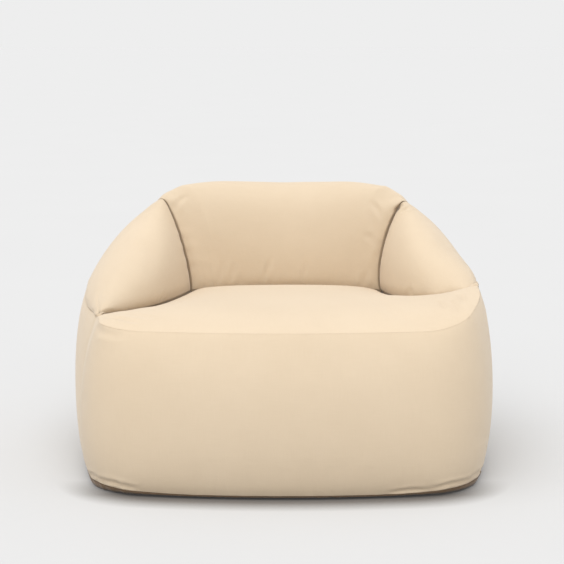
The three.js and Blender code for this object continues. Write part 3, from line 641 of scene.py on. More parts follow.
def smooth_wave(along, wavelength, seed, parts=5):
    """Irregular rise and fall along a line, between about -1 and 1."""
    draw = np.random.default_rng(seed)
    total = np.zeros_like(along)
    for _ in range(parts):
        pitch = wavelength * draw.uniform(*WAVE_PITCHES)
        total += np.sin(2 * math.pi * (along / pitch + draw.uniform()))
    return total / math.sqrt(WAVE_SIZE * parts)


# for each seam, the radius its panels turn in on, and how far and how widely it is drawn in
SEAM_SHAPES = {
    "hem": (0.0018, 0.0012, 0.014), "belt": (0.0012, 0.0006, 0.012), "crease": (0.0032, 0.0034, 0.016),
    "front": (0.0012, 0.0005, 0.010), "back": (0.0028, 0.0024, 0.016), "zip": (0.0009, 0.0003, 0.010),
}
# for each seam, the wavelength, reach and height of its gathers, and the seed they are drawn with
PUCKERS = {
    "hem": (0.026, 0.030, 0.0011, 11), "belt": (0.030, 0.026, 0.0010, 12),
    "crease": (0.028, 0.030, 0.0013, 13), "front": (0.024, 0.022, 0.0008, 14),
    "back": (0.024, 0.024, 0.0012, 15), "zip": (0.018, 0.012, 0.0006, 16),
}
UPRIGHT_SEAMS = ("front", "back")
CORNER_PUCKER = (0.034, 0.022, 0.0030, 17)      # deeper ones in the hem at the front corners
CORNER_PUCKER_START = (0.17, 0.22)
CORNER_PUCKER_END = (0.36, 0.42)
PUCKER_START = 0.004
# gathers come in stronger and weaker groups
GROUPS = {"least": 0.45, "swing": 0.55, "wavelengths": 7, "seed": 50, "parts": 3}
SIDE_OFFSET = 3                    # draws the upright seams of the two sides differently


def seam_depth(distance, shape):
    """How far a panel turns in beside a seam."""
    radius, pull, reach = shape
    inside = np.clip(radius - distance, 0, radius)
    turn = radius - np.sqrt(np.maximum(radius ** 2 - inside ** 2, 0))
    return turn + pull * np.exp(-(distance / reach) ** 2)


def pucker(distance, along, wavelength, reach, height, seed):
    """Small gathers that run out from a seam at right angles to it."""
    gathers = smooth_wave(along, wavelength, seed)
    swing = smooth_wave(along, wavelength * GROUPS["wavelengths"], seed + GROUPS["seed"], GROUPS["parts"])
    groups = GROUPS["least"] + GROUPS["swing"] * np.clip(swing, -1, 1)
    start = smoothstep(distance, 0.0, PUCKER_START)
    return height * gathers * groups * start * np.exp(-distance / reach)


def surface_detail(mesh, distances):
    """Outward movement of each vertex for seams and gathers."""
    place = np.abs(mesh.u)
    round_outline = mesh.u * HALF_LENGTH
    up_side = mesh.points[:, 2] + SIDE_OFFSET * np.sign(mesh.u)
    depth = -np.maximum.reduce([seam_depth(distances[k], SEAM_SHAPES[k]) for k in SEAM_SHAPES])
    for seam, shape in PUCKERS.items():
        depth += pucker(distances[seam], up_side if seam in UPRIGHT_SEAMS else round_outline, *shape)
    corner = smoothstep(place, *CORNER_PUCKER_START) * (1 - smoothstep(place, *CORNER_PUCKER_END))
    return depth + corner * pucker(distances["hem"], round_outline, *CORNER_PUCKER)


# ------------------------------------------------------------------ listed folds
def fold_line(section, stops, count=60):
    """Points along a fold whose stops are places (u, t) on one section of the surface."""
    stops = np.array(stops, float)
    share = np.linspace(0, 1, count)
    known = np.linspace(0, 1, len(stops))
    return section_point(section, np.interp(share, known, stops[:, 0]), np.interp(share, known, stops[:, 1]))


FOLD_RIDGES = {"height": 0.55, "away": 1.7, "spread": 0.9}    # in fold depths and fold widths
FOLD_FADE = 0.7
FOLD_WIDTHS = 4                    # nothing moves further than this many widths away


def fold(points, line, height, width):
    """A soft furrow with a ridge on each side, that fades out at both ends."""
    low, high = line.min(0) - FOLD_WIDTHS * width, line.max(0) + FOLD_WIDTHS * width
    near = np.where(np.all((points > low) & (points < high), axis=1))[0]
    result = np.zeros(len(points))
    if not len(near):
        return result
    gaps = length_of(points[near][:, None, :] - line[None, :, :])
    closest = gaps.argmin(1)
    distance = gaps[np.arange(len(near)), closest] / width
    share = closest / (len(line) - 1)
    fade = np.clip(np.sin(math.pi * share), 0, 1) ** FOLD_FADE
    ridges = np.exp(-((distance - FOLD_RIDGES["away"]) / FOLD_RIDGES["spread"]) ** 2)
    result[near] = height * fade * (-np.exp(-distance ** 2) + FOLD_RIDGES["height"] * ridges)
    return result


FOLDS = [
    # (section, places, height, width)
    ("seat", [(-0.41, 0.05), (-0.34, 0.10), (-0.24, 0.10)], 0.0034, 0.0065),
    ("seat", [(-0.36, 0.17), (-0.31, 0.18), (-0.24, 0.19)], 0.0012, 0.0080),
    ("wall", [(-0.38, 0.97), (-0.31, 0.95), (-0.23, 0.95)], 0.0020, 0.0080),
    ("seat", [(0.39, 0.10), (0.37, 0.09), (0.34, 0.06)], 0.0034, 0.0050),
    ("seat", [(0.36, 0.13), (0.33, 0.10), (0.30, 0.05)], 0.0030, 0.0055),
    ("seat", [(0.35, 0.20), (0.33, 0.17), (0.31, 0.12)], 0.0024, 0.0050),
    ("wall", [(0.41, 0.97), (0.38, 0.90), (0.35, 0.82)], 0.0012, 0.0110),
    ("face", [(0.750, 0.28), (0.742, 0.20), (0.734, 0.08)], 0.0040, 0.0055),
    ("face", [(0.728, 0.24), (0.720, 0.14), (0.708, 0.02)], 0.0036, 0.0050),
    ("face", [(0.770, 0.42), (0.790, 0.36), (0.815, 0.34)], 0.0022, 0.0070),
    ("face", [(0.765, 0.62), (0.785, 0.60), (0.805, 0.61)], 0.0018, 0.0070),
    ("face", [(-0.755, 0.30), (-0.775, 0.24), (-0.800, 0.22)], 0.0020, 0.0070),
    ("wall", [(0.20, 0.030), (0.23, 0.050), (0.28, 0.035)], 0.0036, 0.0050),
    ("wall", [(0.14, 0.020), (0.17, 0.034), (0.20, 0.024)], 0.0026, 0.0045),
    ("wall", [(0.27, 0.060), (0.31, 0.050), (0.36, 0.020)], 0.0028, 0.0055),
    ("wall", [(-0.20, 0.030), (-0.25, 0.050), (-0.31, 0.035)], 0.0036, 0.0055),
    ("wall", [(-0.29, 0.060), (-0.34, 0.045), (-0.38, 0.020)], 0.0026, 0.0055),
]


FOLD_BANDS = [
    # (section, first and last place on the outline, where on the profile the folds start, their reach)
    ("wall", 0.47, 0.97, 0.97, -0.13),
    ("wall", 0.47, 0.97, 0.03, 0.12),
    ("shoulder", 0.52, 0.97, 0.04, 0.16),
    ("face", 0.56, 0.97, 0.97, -0.16),
]
FOLDS_IN_BAND = 5


def scattered_folds():
    """Short folds that leave the seams of the sides and the back at a slant."""
    draw = np.random.default_rng(5)
    found = []
    for side in (-1, 1):
        for section, low, high, start, reach in FOLD_BANDS:
            for _ in range(FOLDS_IN_BAND):
                u = draw.uniform(low, high)
                slant = draw.uniform(-0.020, 0.020)
                length = draw.uniform(0.6, 1.0) * reach
                stops = [(side * u, start), (side * (u + 0.6 * slant), start + 0.5 * length),
                         (side * (u + slant), start + length)]
                found.append((section, stops, draw.uniform(0.0008, 0.0020), draw.uniform(0.006, 0.009)))
    return found


def fold_detail(mesh):
    total = np.zeros(len(mesh.points))
    for section, stops, height, width in FOLDS + scattered_folds():
        total += fold(mesh.points, fold_line(section, stops), height, width)
    return total


# ------------------------------------------------------------------ cloth simulation
CLOTH_FRAMES = 20
LARGEST_MOVE = 0.012
SEAM_TOUCH = 1e-4
CARRY_ROUNDS = 6
CLOTH_SETTINGS = {
    "quality": 6, "mass": 0.25, "tension_stiffness": 25, "compression_stiffness": 12,
    "shear_stiffness": 8, "bending_stiffness": 0.12, "use_pressure": True,
    "uniform_pressure_force": 4.0, "vertex_group_mass": "pin",
    "shrink_min": -0.003, "shrink_max": -0.003,    # negative: the cloth is cut this share too large
}


def new_mesh(name, points, faces):
    data = bpy.data.meshes.new(name)
    data.from_pydata([tuple(p) for p in points], [], [list(f) for f in faces])
    data.update()
    return data


def cloth_trial(coarse):
    """The coarse copy as cloth, held at its seams and along the floor."""
    distances = seam_distances(coarse)
    nearest = np.minimum.reduce([distances[k] for k in distances])
    held = (nearest < SEAM_TOUCH) | (coarse.section == "base") | (coarse.section == "hem")
    obj = bpy.data.objects.new("cloth_trial", new_mesh("cloth_trial", coarse.points, coarse.faces))
    bpy.context.scene.collection.objects.link(obj)
    pin = obj.vertex_groups.new(name="pin")
    pin.add([int(i) for i in np.where(held)[0]], 1.0, "REPLACE")
    cloth = obj.modifiers.new("Cloth", "CLOTH")
    for key, value in CLOTH_SETTINGS.items():
        setattr(cloth.settings, key, value)
    cloth.settings.effector_weights.gravity = 0
    cloth.collision_settings.use_collision = False
    cloth.point_cache.frame_start = 1
    cloth.point_cache.frame_end = CLOTH_FRAMES
    return obj


def simulate_cloth():
    """Fills the sewn cover with air for a moment, and its cloth swells between the seams that hold it."""
    coarse = ChairMesh(CLOTH_STEP, False)
    obj = cloth_trial(coarse)
    scene = bpy.context.scene
    for number in range(1, CLOTH_FRAMES + 1):
        scene.frame_set(number)
    solved = obj.evaluated_get(bpy.context.evaluated_depsgraph_get()).to_mesh()
    after = np.zeros(len(solved.vertices) * 3)
    solved.vertices.foreach_get("co", after)
    moved = after.reshape(-1, 3) - coarse.points
    scene.frame_set(1)
    bpy.data.objects.remove(obj)
    size = length_of(moved)
    moved *= (LARGEST_MOVE * np.tanh(size / LARGEST_MOVE) / np.maximum(size, 1e-9))[:, None]
    return coarse, moved


def nearest_shares(tree, points, corners_of, triangles):
    """For each point, the nearest triangle's corners and the shares of them that make up the spot on it."""
    spots = np.zeros_like(points)
    found = np.zeros(len(points), int)
    for i, point in enumerate(points.tolist()):
        spot, _, found[i], _ = tree.find_nearest(point)
        spots[i] = spot
    corners = triangles[found]
    a, b, c = (corners_of[corners[:, k]] for k in range(3))
    whole = np.cross(b - a, c - a)
    area = (whole * whole).sum(1)
    first = (np.cross(b - spots, c - spots) * whole).sum(1) / area
    second = (np.cross(c - spots, a - spots) * whole).sum(1) / area
    return corners, np.stack([first, second, 1 - first - second], -1)


def carried_over(coarse, moved, fine):
    """The trial's movement, read off at each vertex of the finer mesh."""
    triangles = triangles_of(coarse.faces)
    tree = BVHTree.FromPolygons(coarse.points.tolist(), triangles.tolist())
    corners, shares = nearest_shares(tree, fine.points, coarse.points, triangles)
    result = (moved[corners] * shares[..., None]).sum(1)
    return smoothed(result, triangles_of(fine.faces), CARRY_ROUNDS)


# ------------------------------------------------------------------ materials
class Nodes:
    """A short way to write a node tree."""

    def __init__(self, name):
        self.material = bpy.data.materials.new(name)
        self.material.use_nodes = True
        self.tree = self.material.node_tree
        self.shader = self.tree.nodes["Principled BSDF"]

    def node(self, kind, inputs=(), **settings):
        made = self.tree.nodes.new(kind)
        for key, value in settings.items():
            setattr(made, key, value)
        for key, value in dict(inputs).items():
            if isinstance(value, bpy.types.NodeSocket):
                self.tree.links.new(value, made.inputs[key])
            else:
                made.inputs[key].default_value = value
        return made

    def maths(self, operation, a, b=0.0):
        return self.node("ShaderNodeMath", {0: a, 1: b}, operation=operation).outputs[0]

    def noise(self, vector, scale, detail=3.0, roughness=0.5):
        made = self.node("ShaderNodeTexNoise", {"Vector": vector, "Scale": scale, "Detail": detail,
                                                "Roughness": roughness})
        return made.outputs["Fac"]

    def scaled(self, vector, scale):
        return self.node("ShaderNodeMapping", {"Vector": vector, "Scale": scale}).outputs[0]

    def blend(self, share, a, b):
        made = self.node("ShaderNodeMix", {0: share}, data_type="RGBA")
        for socket, value in ((made.inputs[6], a), (made.inputs[7], b)):
            if isinstance(value, bpy.types.NodeSocket):
                self.tree.links.new(value, socket)
            else:
                socket.default_value = (*value, 1.0)
        return made.outputs[2]

    def range(self, value, low, high, to_low, to_high):
        made = self.node("ShaderNodeMapRange", {0: value, 1: low, 2: high, 3: to_low, 4: to_high})
        return made.outputs[0]

    def bump(self, height, distance, strength=1.0, normal=None):
        inputs = {"Height": height, "Distance": distance, "Strength": strength}
        if normal is not None:
            inputs["Normal"] = normal
        return self.node("ShaderNodeBump", inputs).outputs[0]

    def finish(self, colour=None, normal=None, roughness=None, **fixed):
        for key, value in (("Base Color", colour), ("Normal", normal), ("Roughness", roughness)):
            if value is None:
                continue
            if isinstance(value, bpy.types.NodeSocket):
                self.tree.links.new(value, self.shader.inputs[key])
            else:
                self.shader.inputs[key].default_value = value if key == "Roughness" else (*value, 1.0)
        for key, value in fixed.items():
            self.shader.inputs[key.replace("_", " ")].default_value = value
        return self.material


def linear(red, green, blue):
    """Screen colour, 0 to 255, as linear light."""
    def one(value):
        value /= 255
        return value / 12.92 if value <= 0.04045 else ((value + 0.055) / 1.055) ** 2.4
    return tuple(one(v) for v in (red, green, blue))


WANDER_SCALE = 90.0
WANDER_SHARES = (0.45, 0.35)       # of the pitch, across and along
CLOUD_SCALE, CLOUD_TONE = 5.0, 0.35
LUMP_SCALE, LUMP_HEIGHT = 34.0, 0.0012
STREAK_SCALES = (24.0, 900.0)      # along and across a thread, per metre
SLUB = 0.5                         # how uneven the threads are
PAINTED_SEAM_SHADE_TINT = (0.30, 0.22, 0.15)     # colour of the painted shade in a seam, as shares of the dark tone


def crossing_threads(n, flat, pitch):
    """Waves of the threads both ways, which wander a little: their crossings and their ribs."""
    wander = n.noise(flat, WANDER_SCALE, 2.0)
    shifted = n.node("ShaderNodeVectorMath", {0: flat}, operation="ADD")
    sideways, lengthways = (pitch * share for share in WANDER_SHARES)
    drift = n.node("ShaderNodeCombineXYZ", {0: n.range(wander, 0, 1, -sideways, sideways),
                                            1: n.range(wander, 0, 1, lengthways, -lengthways)})
    n.tree.links.new(drift.outputs[0], shifted.inputs[1])
    split = n.node("ShaderNodeSeparateXYZ", {0: shifted.outputs[0]})
    turn = math.pi / pitch
    warp = n.maths("SINE", n.maths("MULTIPLY", split.outputs[0], turn))
    weft = n.maths("SINE", n.maths("MULTIPLY", split.outputs[1], turn))
    crossing = n.maths("MULTIPLY", warp, weft)
    ribs = n.maths("ADD", n.maths("ABSOLUTE", warp), n.maths("ABSOLUTE", weft))
    return crossing, ribs


def woven(name, light, dark, pitch, bump_height, sheen=0.25, roughness=0.85):
    """Plain weave: crossing threads of uneven thickness, with faint streaks and clouds of tone, and painted
    shade beside the seams.
    """
    n = Nodes(name)
    flat = n.node("ShaderNodeUVMap", uv_map="cloth").outputs[0]
    solid = n.node("ShaderNodeTexCoord").outputs["Object"]
    crossing, ribs = crossing_threads(n, flat, pitch)
    threads = n.maths("ADD", n.maths("MULTIPLY", crossing, 0.5), n.maths("MULTIPLY", ribs, 0.35))
    along, across = STREAK_SCALES
    streak_x = n.noise(n.scaled(flat, (along, across, 1.0)), 1.0, 1.0)
    streak_y = n.noise(n.scaled(flat, (across, along, 1.0)), 1.0, 1.0)
    streaks = n.maths("MULTIPLY", n.maths("ADD", streak_x, streak_y), 0.5)
    height = n.maths("ADD", threads, n.maths("MULTIPLY", streaks, SLUB * 2))
    clouds = n.range(n.noise(solid, CLOUD_SCALE, 4.0, 0.6), 0.3, 0.7, 0.0, CLOUD_TONE)
    tone = n.maths("ADD", n.range(streaks, 0.35, 0.65, 0.0, 0.5 * SLUB), clouds)
    tone = n.maths("ADD", tone, n.range(crossing, -1, 1, 0.12, 0.0))
    colour = n.blend(n.node("ShaderNodeClamp", {0: tone}).outputs[0], light, dark)
    # painted shade: the seam attribute darkens the cloth beside its seams and in its creases, where shade
    # falls
    seam = n.node("ShaderNodeAttribute", attribute_name="seam").outputs["Fac"]
    painted_seam_shade_colour = tuple(tint * value for tint, value in zip(PAINTED_SEAM_SHADE_TINT, dark))
    with_painted_shade = n.blend(n.maths("MULTIPLY", seam, 0.9), colour, painted_seam_shade_colour)
    lump = n.bump(n.noise(solid, LUMP_SCALE, 3.0, 0.55), LUMP_HEIGHT, 0.35)
    weave = n.bump(height, bump_height, 0.9, lump)
    n.finish(with_painted_shade, weave, n.range(streaks, 0.3, 0.7, roughness - 0.05, roughness + 0.05),
             Sheen_Weight=sheen, Sheen_Roughness=0.45, Specular_IOR_Level=0.25)
    return n.material


def metal(name, colour):
    n = Nodes(name)
    solid = n.node("ShaderNodeTexCoord").outputs["Object"]
    scratches = n.noise(n.scaled(solid, (900.0, 900.0, 160.0)), 1.0, 4.0, 0.6)
    wear = n.noise(solid, 260.0, 3.0)
    tint = n.blend(n.range(wear, 0.4, 0.65, 0.0, 0.5), colour, tuple(0.72 * c for c in colour))
    return n.finish(tint, n.bump(scratches, 0.00004, 0.4), n.range(wear, 0.3, 0.7, 0.26, 0.44), Metallic=1.0)


def plastic_coil(name, colour):
    n = Nodes(name)
    solid = n.node("ShaderNodeTexCoord").outputs["Object"]
    mottle = n.noise(solid, 700.0, 2.0)
    tint = n.blend(n.range(mottle, 0.3, 0.7, 0.0, 0.6), colour, tuple(0.85 * c for c in colour))
    return n.finish(tint, n.bump(mottle, 0.00003, 0.3), 0.42, Specular_IOR_Level=0.5)


def bead_mass(name):
    n = Nodes(name)
    solid = n.node("ShaderNodeTexCoord").outputs["Object"]
    cells = n.node("ShaderNodeTexVoronoi", {"Vector": solid, "Scale": 260.0})
    tone = n.node("ShaderNodeSeparateXYZ", {0: cells.outputs["Color"]}).outputs[0]
    tint = n.blend(tone, linear(252, 252, 250), linear(236, 237, 236))
    height = n.range(cells.outputs["Distance"], 0.0, 0.6, 1.0, 0.0)
    return n.finish(tint, n.bump(height, 0.0016, 0.9), n.range(tone, 0, 1, 0.5, 0.7), Specular_IOR_Level=0.35)


FLOOR_GREYS = ((0.529, 0.529, 0.529), (0.539, 0.539, 0.539))
FLOOR_GLOW = 0.030
CONTACT_REACH = 0.075              # painted shadow: the floor is darkest close to the front of the chair
CONTACT_FRONT = (-0.38, -0.27)
# colour of the painted shadow on the floor
PAINTED_CONTACT_SHADOW = (0.17, 0.155, 0.14)
CONTACT_SAMPLES = 8


def studio_floor(name):
    n = Nodes(name)
    solid = n.node("ShaderNodeTexCoord").outputs["Object"]
    tint = n.blend(n.noise(solid, 1.5, 2.0), *FLOOR_GREYS)
    # painted shadow: ambient occlusion darkens the floor's colour in front of the chair
    nearby = n.node("ShaderNodeAmbientOcclusion", {"Distance": CONTACT_REACH},
                    samples=CONTACT_SAMPLES).outputs["AO"]
    ahead = n.range(n.node("ShaderNodeSeparateXYZ", {0: solid}).outputs[1], *CONTACT_FRONT, 1.0, 0.0)
    tint = n.blend(n.maths("MULTIPLY", n.range(nearby, 0.5, 1.0, 1.0, 0.0), ahead), tint, PAINTED_CONTACT_SHADOW)
    return n.finish(tint, None, 0.9, Specular_IOR_Level=0.0, Emission_Color=(1.0, 1.0, 1.0, 1.0),
                    Emission_Strength=FLOOR_GLOW)


# light and dark tone on screen, thread pitch, bump height, and then the sheen and the roughness
WOVEN = {
    "cover_fabric": ((208, 190, 165), (199, 180, 154), 0.0011, 0.00020),
    # base_fabric is darker than the cover: partly the base cloth's own colour, partly painted shade for the
    # shadow under the chair
    "base_fabric": ((176, 156, 130), (162, 141, 115), 0.0013, 0.00024),
    "sack_fabric": ((241, 239, 232), (222, 219, 210), 0.0008, 0.00012, 0.1),
    "zip_tape": ((226, 208, 176), (204, 184, 150), 0.0007, 0.00012, 0.1),
    "sack_tape": ((238, 235, 226), (220, 216, 205), 0.0007, 0.00012, 0.1),
    "label": ((247, 245, 238), (232, 229, 220), 0.0004, 0.00004, 0.3, 0.5),
    "thread": ((240, 222, 192), (216, 194, 158), 0.0005, 0.00006, 0.2),
}

materials = {name: woven(name, linear(*light), linear(*dark), *rest)
             for name, (light, dark, *rest) in WOVEN.items()}
materials |= {
    "zip_coil": plastic_coil("zip_coil", linear(210, 190, 152)),
    "sack_zip": plastic_coil("sack_zip", linear(236, 232, 222)),
    "zip_metal": metal("zip_metal", linear(196, 192, 182)),
    "beads": bead_mass("beads"),
    "floor": studio_floor("floor"),
}


# ------------------------------------------------------------------ making objects
def make_object(name, points, faces, material, body=None, slot=None, replaces=(), cloth=None, seam=None,
                smooth=True):
    """One mesh piece; cloth holds a flat coordinate for every face corner, in metres."""
    data = new_mesh(name, points, faces)
    if smooth:
        data.polygons.foreach_set("use_smooth", [True] * len(data.polygons))
    flat = data.uv_layers.new(name="cloth")
    if cloth is None:
        spots = np.array(points)[[i for face in faces for i in face]]
        cloth = spots[:, [0, 2]] + spots[:, [1, 1]] * [0.37, 0.53]
    flat.data.foreach_set("uv", np.asarray(cloth, np.float32).ravel())
    # seam holds each point's painted seam shade, from 0 to 1, for the woven material
    if seam is not None:
        layer = data.attributes.new("seam", "FLOAT", "POINT")
        layer.data.foreach_set("value", np.asarray(seam, np.float32))
    data.materials.append(materials[material])
    obj = bpy.data.objects.new(name, data)
    bpy.context.scene.collection.objects.link(obj)
    if body is not None:
        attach(obj, body)
    if replaces:
        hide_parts(*replaces)
    return obj


def subset(mesh, points, chosen, values):
    """The chosen faces with their own vertices, and the values that go with those."""
    faces = [mesh.faces[i] for i in chosen]
    used, new_ids = np.unique([v for face in faces for v in face], return_inverse=True)
    sizes = [len(face) for face in faces]
    new_faces = [part.tolist() for part in np.split(new_ids, np.cumsum(sizes)[:-1])]
    return points[used], new_faces, values[used]


ROLL_LENGTH = SHOULDER_LENGTH + FACE_LENGTH
CREASE_NARROWING = 0.72            # the cloth of the roll is this much shorter along the crease


def cloth_coordinates(mesh, chosen, points, grain):
    """Flat cloth coordinates of the corners: lengths round the chair and up its profile."""
    corners = []
    for i in chosen:
        face, spots = mesh.faces[i], mesh.cloth[i]
        for k, vertex in enumerate(face):
            point = points[vertex]
            if grain == "flat" or spots is None:
                corners.append((point[0], point[1]))
            elif grain == "wall":
                corners.append((spots[k][0] * HALF_LENGTH, point[2]))
            else:
                place, t = spots[k]
                on_shoulder = mesh.tags[i][0] == "shoulder"
                rise = t * SHOULDER_LENGTH if on_shoulder else SHOULDER_LENGTH + t * FACE_LENGTH
                narrow = lerp(1.0, CREASE_NARROWING, rise / ROLL_LENGTH)
                corners.append((place * HALF_LENGTH * narrow, rise))
    return corners


def shell(obj, thickness, offset=-1.0):
    """Gives a cloth sheet its thickness: inwards, or half to each side with an offset of 0."""
    solid = obj.modifiers.new("Thickness", "SOLIDIFY")
    solid.thickness = thickness
    solid.offset = offset
    solid.use_even_offset = False
    solid.use_quality_normals = True


def sheet_faces(rows, width, turned=False):
    """Quads of a sheet whose points come row by row."""
    quads = [[r * width + c, r * width + c + 1, (r + 1) * width + c + 1, (r + 1) * width + c]
             for r in range(rows - 1) for c in range(width - 1)]
    return [[a, d, c, b] for a, b, c, d in quads] if turned else quads


# ------------------------------------------------------------------ the cover
CLOTH_THICKNESS = 0.0012


def is_rear(tag):
    return tag[1] > BACK_SEAM


def is_arm(tag, side):
    return ARM_TIP < tag[1] <= BACK_SEAM and tag[3] == side


def is_wall(tag):
    return tag[0] == "wall"


def is_roll(tag):
    return tag[0] in ROLL_SECTIONS


def in_band(tag, rows, start):
    return rows[0] < tag[2] < rows[1] and tag[1] > start


# for each panel, how its cloth lies and which faces of the chair's mesh belong to it
PANELS = {
    "base_panel": ("flat", lambda g: g[0] in ("base", "hem")),
    "front_panel": ("wall", lambda g: is_wall(g) and g[1] < ARM_TIP),
    "left_side_panel": ("wall", lambda g: is_wall(g) and is_arm(g, "left")),
    "right_side_panel": ("wall", lambda g: is_wall(g) and is_arm(g, "right")),
    "rear_lower_panel": ("wall", lambda g: is_wall(g) and is_rear(g) and g[2] < ZIP_ROWS[0]),
    "rear_upper_panel": ("wall", lambda g: is_wall(g) and is_rear(g) and g[2] > ZIP_ROWS[0]
                         and not in_band(g, ZIP_ROWS, ZIP_END)),
    "left_arm_panel": ("roll", lambda g: is_roll(g) and is_arm(g, "left")),
    "right_arm_panel": ("roll", lambda g: is_roll(g) and is_arm(g, "right")),
    "backrest_panel": ("roll", lambda g: is_roll(g) and is_rear(g)),
    "seat_panel": ("flat", lambda g: g[0] == "seat"),
}
RIDGE_ROUNDS = 30
SOFTENED_FROM = (0.010, 0.045)     # distances to a seam between which the rounding sets in


def roll_share(mesh, distances, low, high):
    """0 beside every seam and off the roll, and 1 on the roll away from its seams."""
    nearest = np.minimum.reduce([distances[k] for k in distances])
    return smoothstep(nearest, low, high) * np.isin(mesh.section, ROLL_SECTIONS)


def softened(mesh, points, distances):
    """The surface with its ridges rounded; the panels stay as they are near their seams."""
    free = roll_share(mesh, distances, *SOFTENED_FROM)
    calm = smoothed(points, triangles_of(mesh.faces), RIDGE_ROUNDS)
    return points + (calm - points) * free[:, None]


NOSES = [
    # (place on the outline, section, t, push, reach) where loose beads bulge over a seam
    (0.480, "face", 0.75, (-0.006, -0.026, -0.010), 0.036),
    (0.560, "face", 0.90, (-0.010, -0.008, -0.002), 0.045),
    (-0.480, "face", 0.60, (0.004, -0.004, 0.006), 0.040),
]


NOSE_FROM = (0.0, 0.012)           # distances to a seam between which the bulges set in


def nose_bulges(mesh, distances):
    """Movement of the arm panels where the beads have rolled up against a seam."""
    free = roll_share(mesh, distances, *NOSE_FROM)
    total = np.zeros_like(mesh.points)
    for u, section, t, push, reach in NOSES:
        centre = section_point(section, np.array([u]), np.array([t]))[0]
        weight = free * np.exp(-(length_of(mesh.points - centre) / reach) ** 2)
        total += weight[:, None] * np.array(push)
    return total


# painted shade, with a little dust, beside each kind of seam and in the creases, where shade falls
PAINTED_SEAM_SHADE = {"hem": 0.16, "belt": 0.08, "crease": 0.52, "front": 0.08, "back": 0.55, "zip": 0.28}
SEAM_SHADE_REACH = 0.0017
TIP_SHADE_FADE = (0.004, 0.030)    # the painted shade sets in at these distances from the arm tips
PAINTED_CREVICE_SHADE = 0.9                # painted shadow: the turned-under edge at the front sits in the shade under the chair
CREVICE_END = (0.40, 0.60)


def seam_shade(mesh, distances):
    """How far the cloth takes its painted seam shade, from 0 to 1."""
    shade = np.maximum.reduce([PAINTED_SEAM_SHADE[k] * np.exp(-(distances[k] / SEAM_SHADE_REACH) ** 2)
                               for k in PAINTED_SEAM_SHADE])
    tips = belt_point(np.array([-ARM_TIP, ARM_TIP]))[0]
    from_tip = np.minimum.reduce([length_of(mesh.points - tip) for tip in tips])
    shade *= smoothstep(from_tip, *TIP_SHADE_FADE)
    crevice = (mesh.section == "hem") * (1 - smoothstep(np.abs(mesh.u), *CREVICE_END))
    return np.maximum(shade, PAINTED_CREVICE_SHADE * crevice)


class Cover:
    """The sewn cover: where each point of the plain surface has come to lie."""

    def __init__(self):
        self.mesh = mesh = ChairMesh(PANEL_STEP, True)
        self.triangles = triangles_of(mesh.faces)
        self.tree = BVHTree.FromPolygons(mesh.points.tolist(), self.triangles.tolist())
        distances = seam_distances(mesh)
        self.coarse, self.moved = simulate_cloth()
        points = mesh.points + carried_over(self.coarse, self.moved, mesh)
        points = softened(mesh, points, distances) + nose_bulges(mesh, distances)
        normals = vertex_normals(points, self.triangles)
        lift = surface_detail(mesh, distances) + fold_detail(mesh)
        points += normals * (lift * (mesh.section != "base"))[:, None]
        points[:, 2] = np.maximum(points[:, 2], 0.0)
        under = np.isin(mesh.section, ("base", "hem")) & (mesh.points[:, 2] < 1e-6)
        points[under, 2] = 0.0
        self.points = points
        self.normals = vertex_normals(points, self.triangles)
        self.shade = seam_shade(mesh, distances)

    def lie_on(self, plain, height):
        """Points of the plain surface, brought onto the sewn cover and raised above it."""
        flat = np.asarray(plain, float).reshape(-1, 3)
        corners, shares = nearest_shares(self.tree, flat, self.mesh.points, self.triangles)
        out = unit((self.normals[corners] * shares[..., None]).sum(1))
        spots = (self.points[corners] * shares[..., None]).sum(1) + out * np.reshape(height, (-1, 1))
        return spots.reshape(np.shape(plain))

    def keep_below(self, points, margin, free):
        """Moves points in until each is at least the margin below the sewn cover."""
        tree = BVHTree.FromPolygons(self.points.tolist(), self.triangles.tolist())
        for _ in range(3):
            for i, point in enumerate(points.tolist()):
                spot, normal, _, _ = tree.find_nearest(point)
                gap = margin + (np.array(point) - np.array(spot)) @ np.array(normal)
                if gap > 0:
                    points[i] -= np.array(normal) * gap * free[i]
        return points

    def build(self):
        for name, (grain, belongs) in PANELS.items():
            chosen = [i for i, tag in enumerate(self.mesh.tags) if belongs(tag)]
            spots, faces, shade = subset(self.mesh, self.points, chosen, self.shade)
            slot = "base_fabric" if name == "base_panel" else "cover_fabric"
            cloth = cloth_coordinates(self.mesh, chosen, self.mesh.points, grain)
            obj = make_object(name + "_cloth", spots, faces, slot, "root", slot, [name], cloth, shade)
            shell(obj, CLOTH_THICKNESS)


# ------------------------------------------------------------------ inner sacks, beads and divider
SACK_DEPTH = 0.0085                # below the cover's outer surface
SACK_DEPTH_AT_ZIP = 0.0048
SACK_LEAST_DEPTH = 0.0075
SACK_THICKNESS = 0.0010
BEADS_BELOW_SACK = 0.0030
SACK_ROUNDS = 4
SACK_EVEN_ROUNDS = 2
SACK_ZIP_FADE = {"across": (0.014, 0.045), "along": (0.008, 0.040)}
DIVIDER_FROM_TIP = 0.012
DIVIDER_PLACES = np.linspace(0.012, 0.988, 16)
SACK_EXTRA = {"crease": (0.0095, 0.030), "back": (0.0100, 0.026), "belt": (0.0030, 0.022),
              "hem": (0.0020, 0.020)}


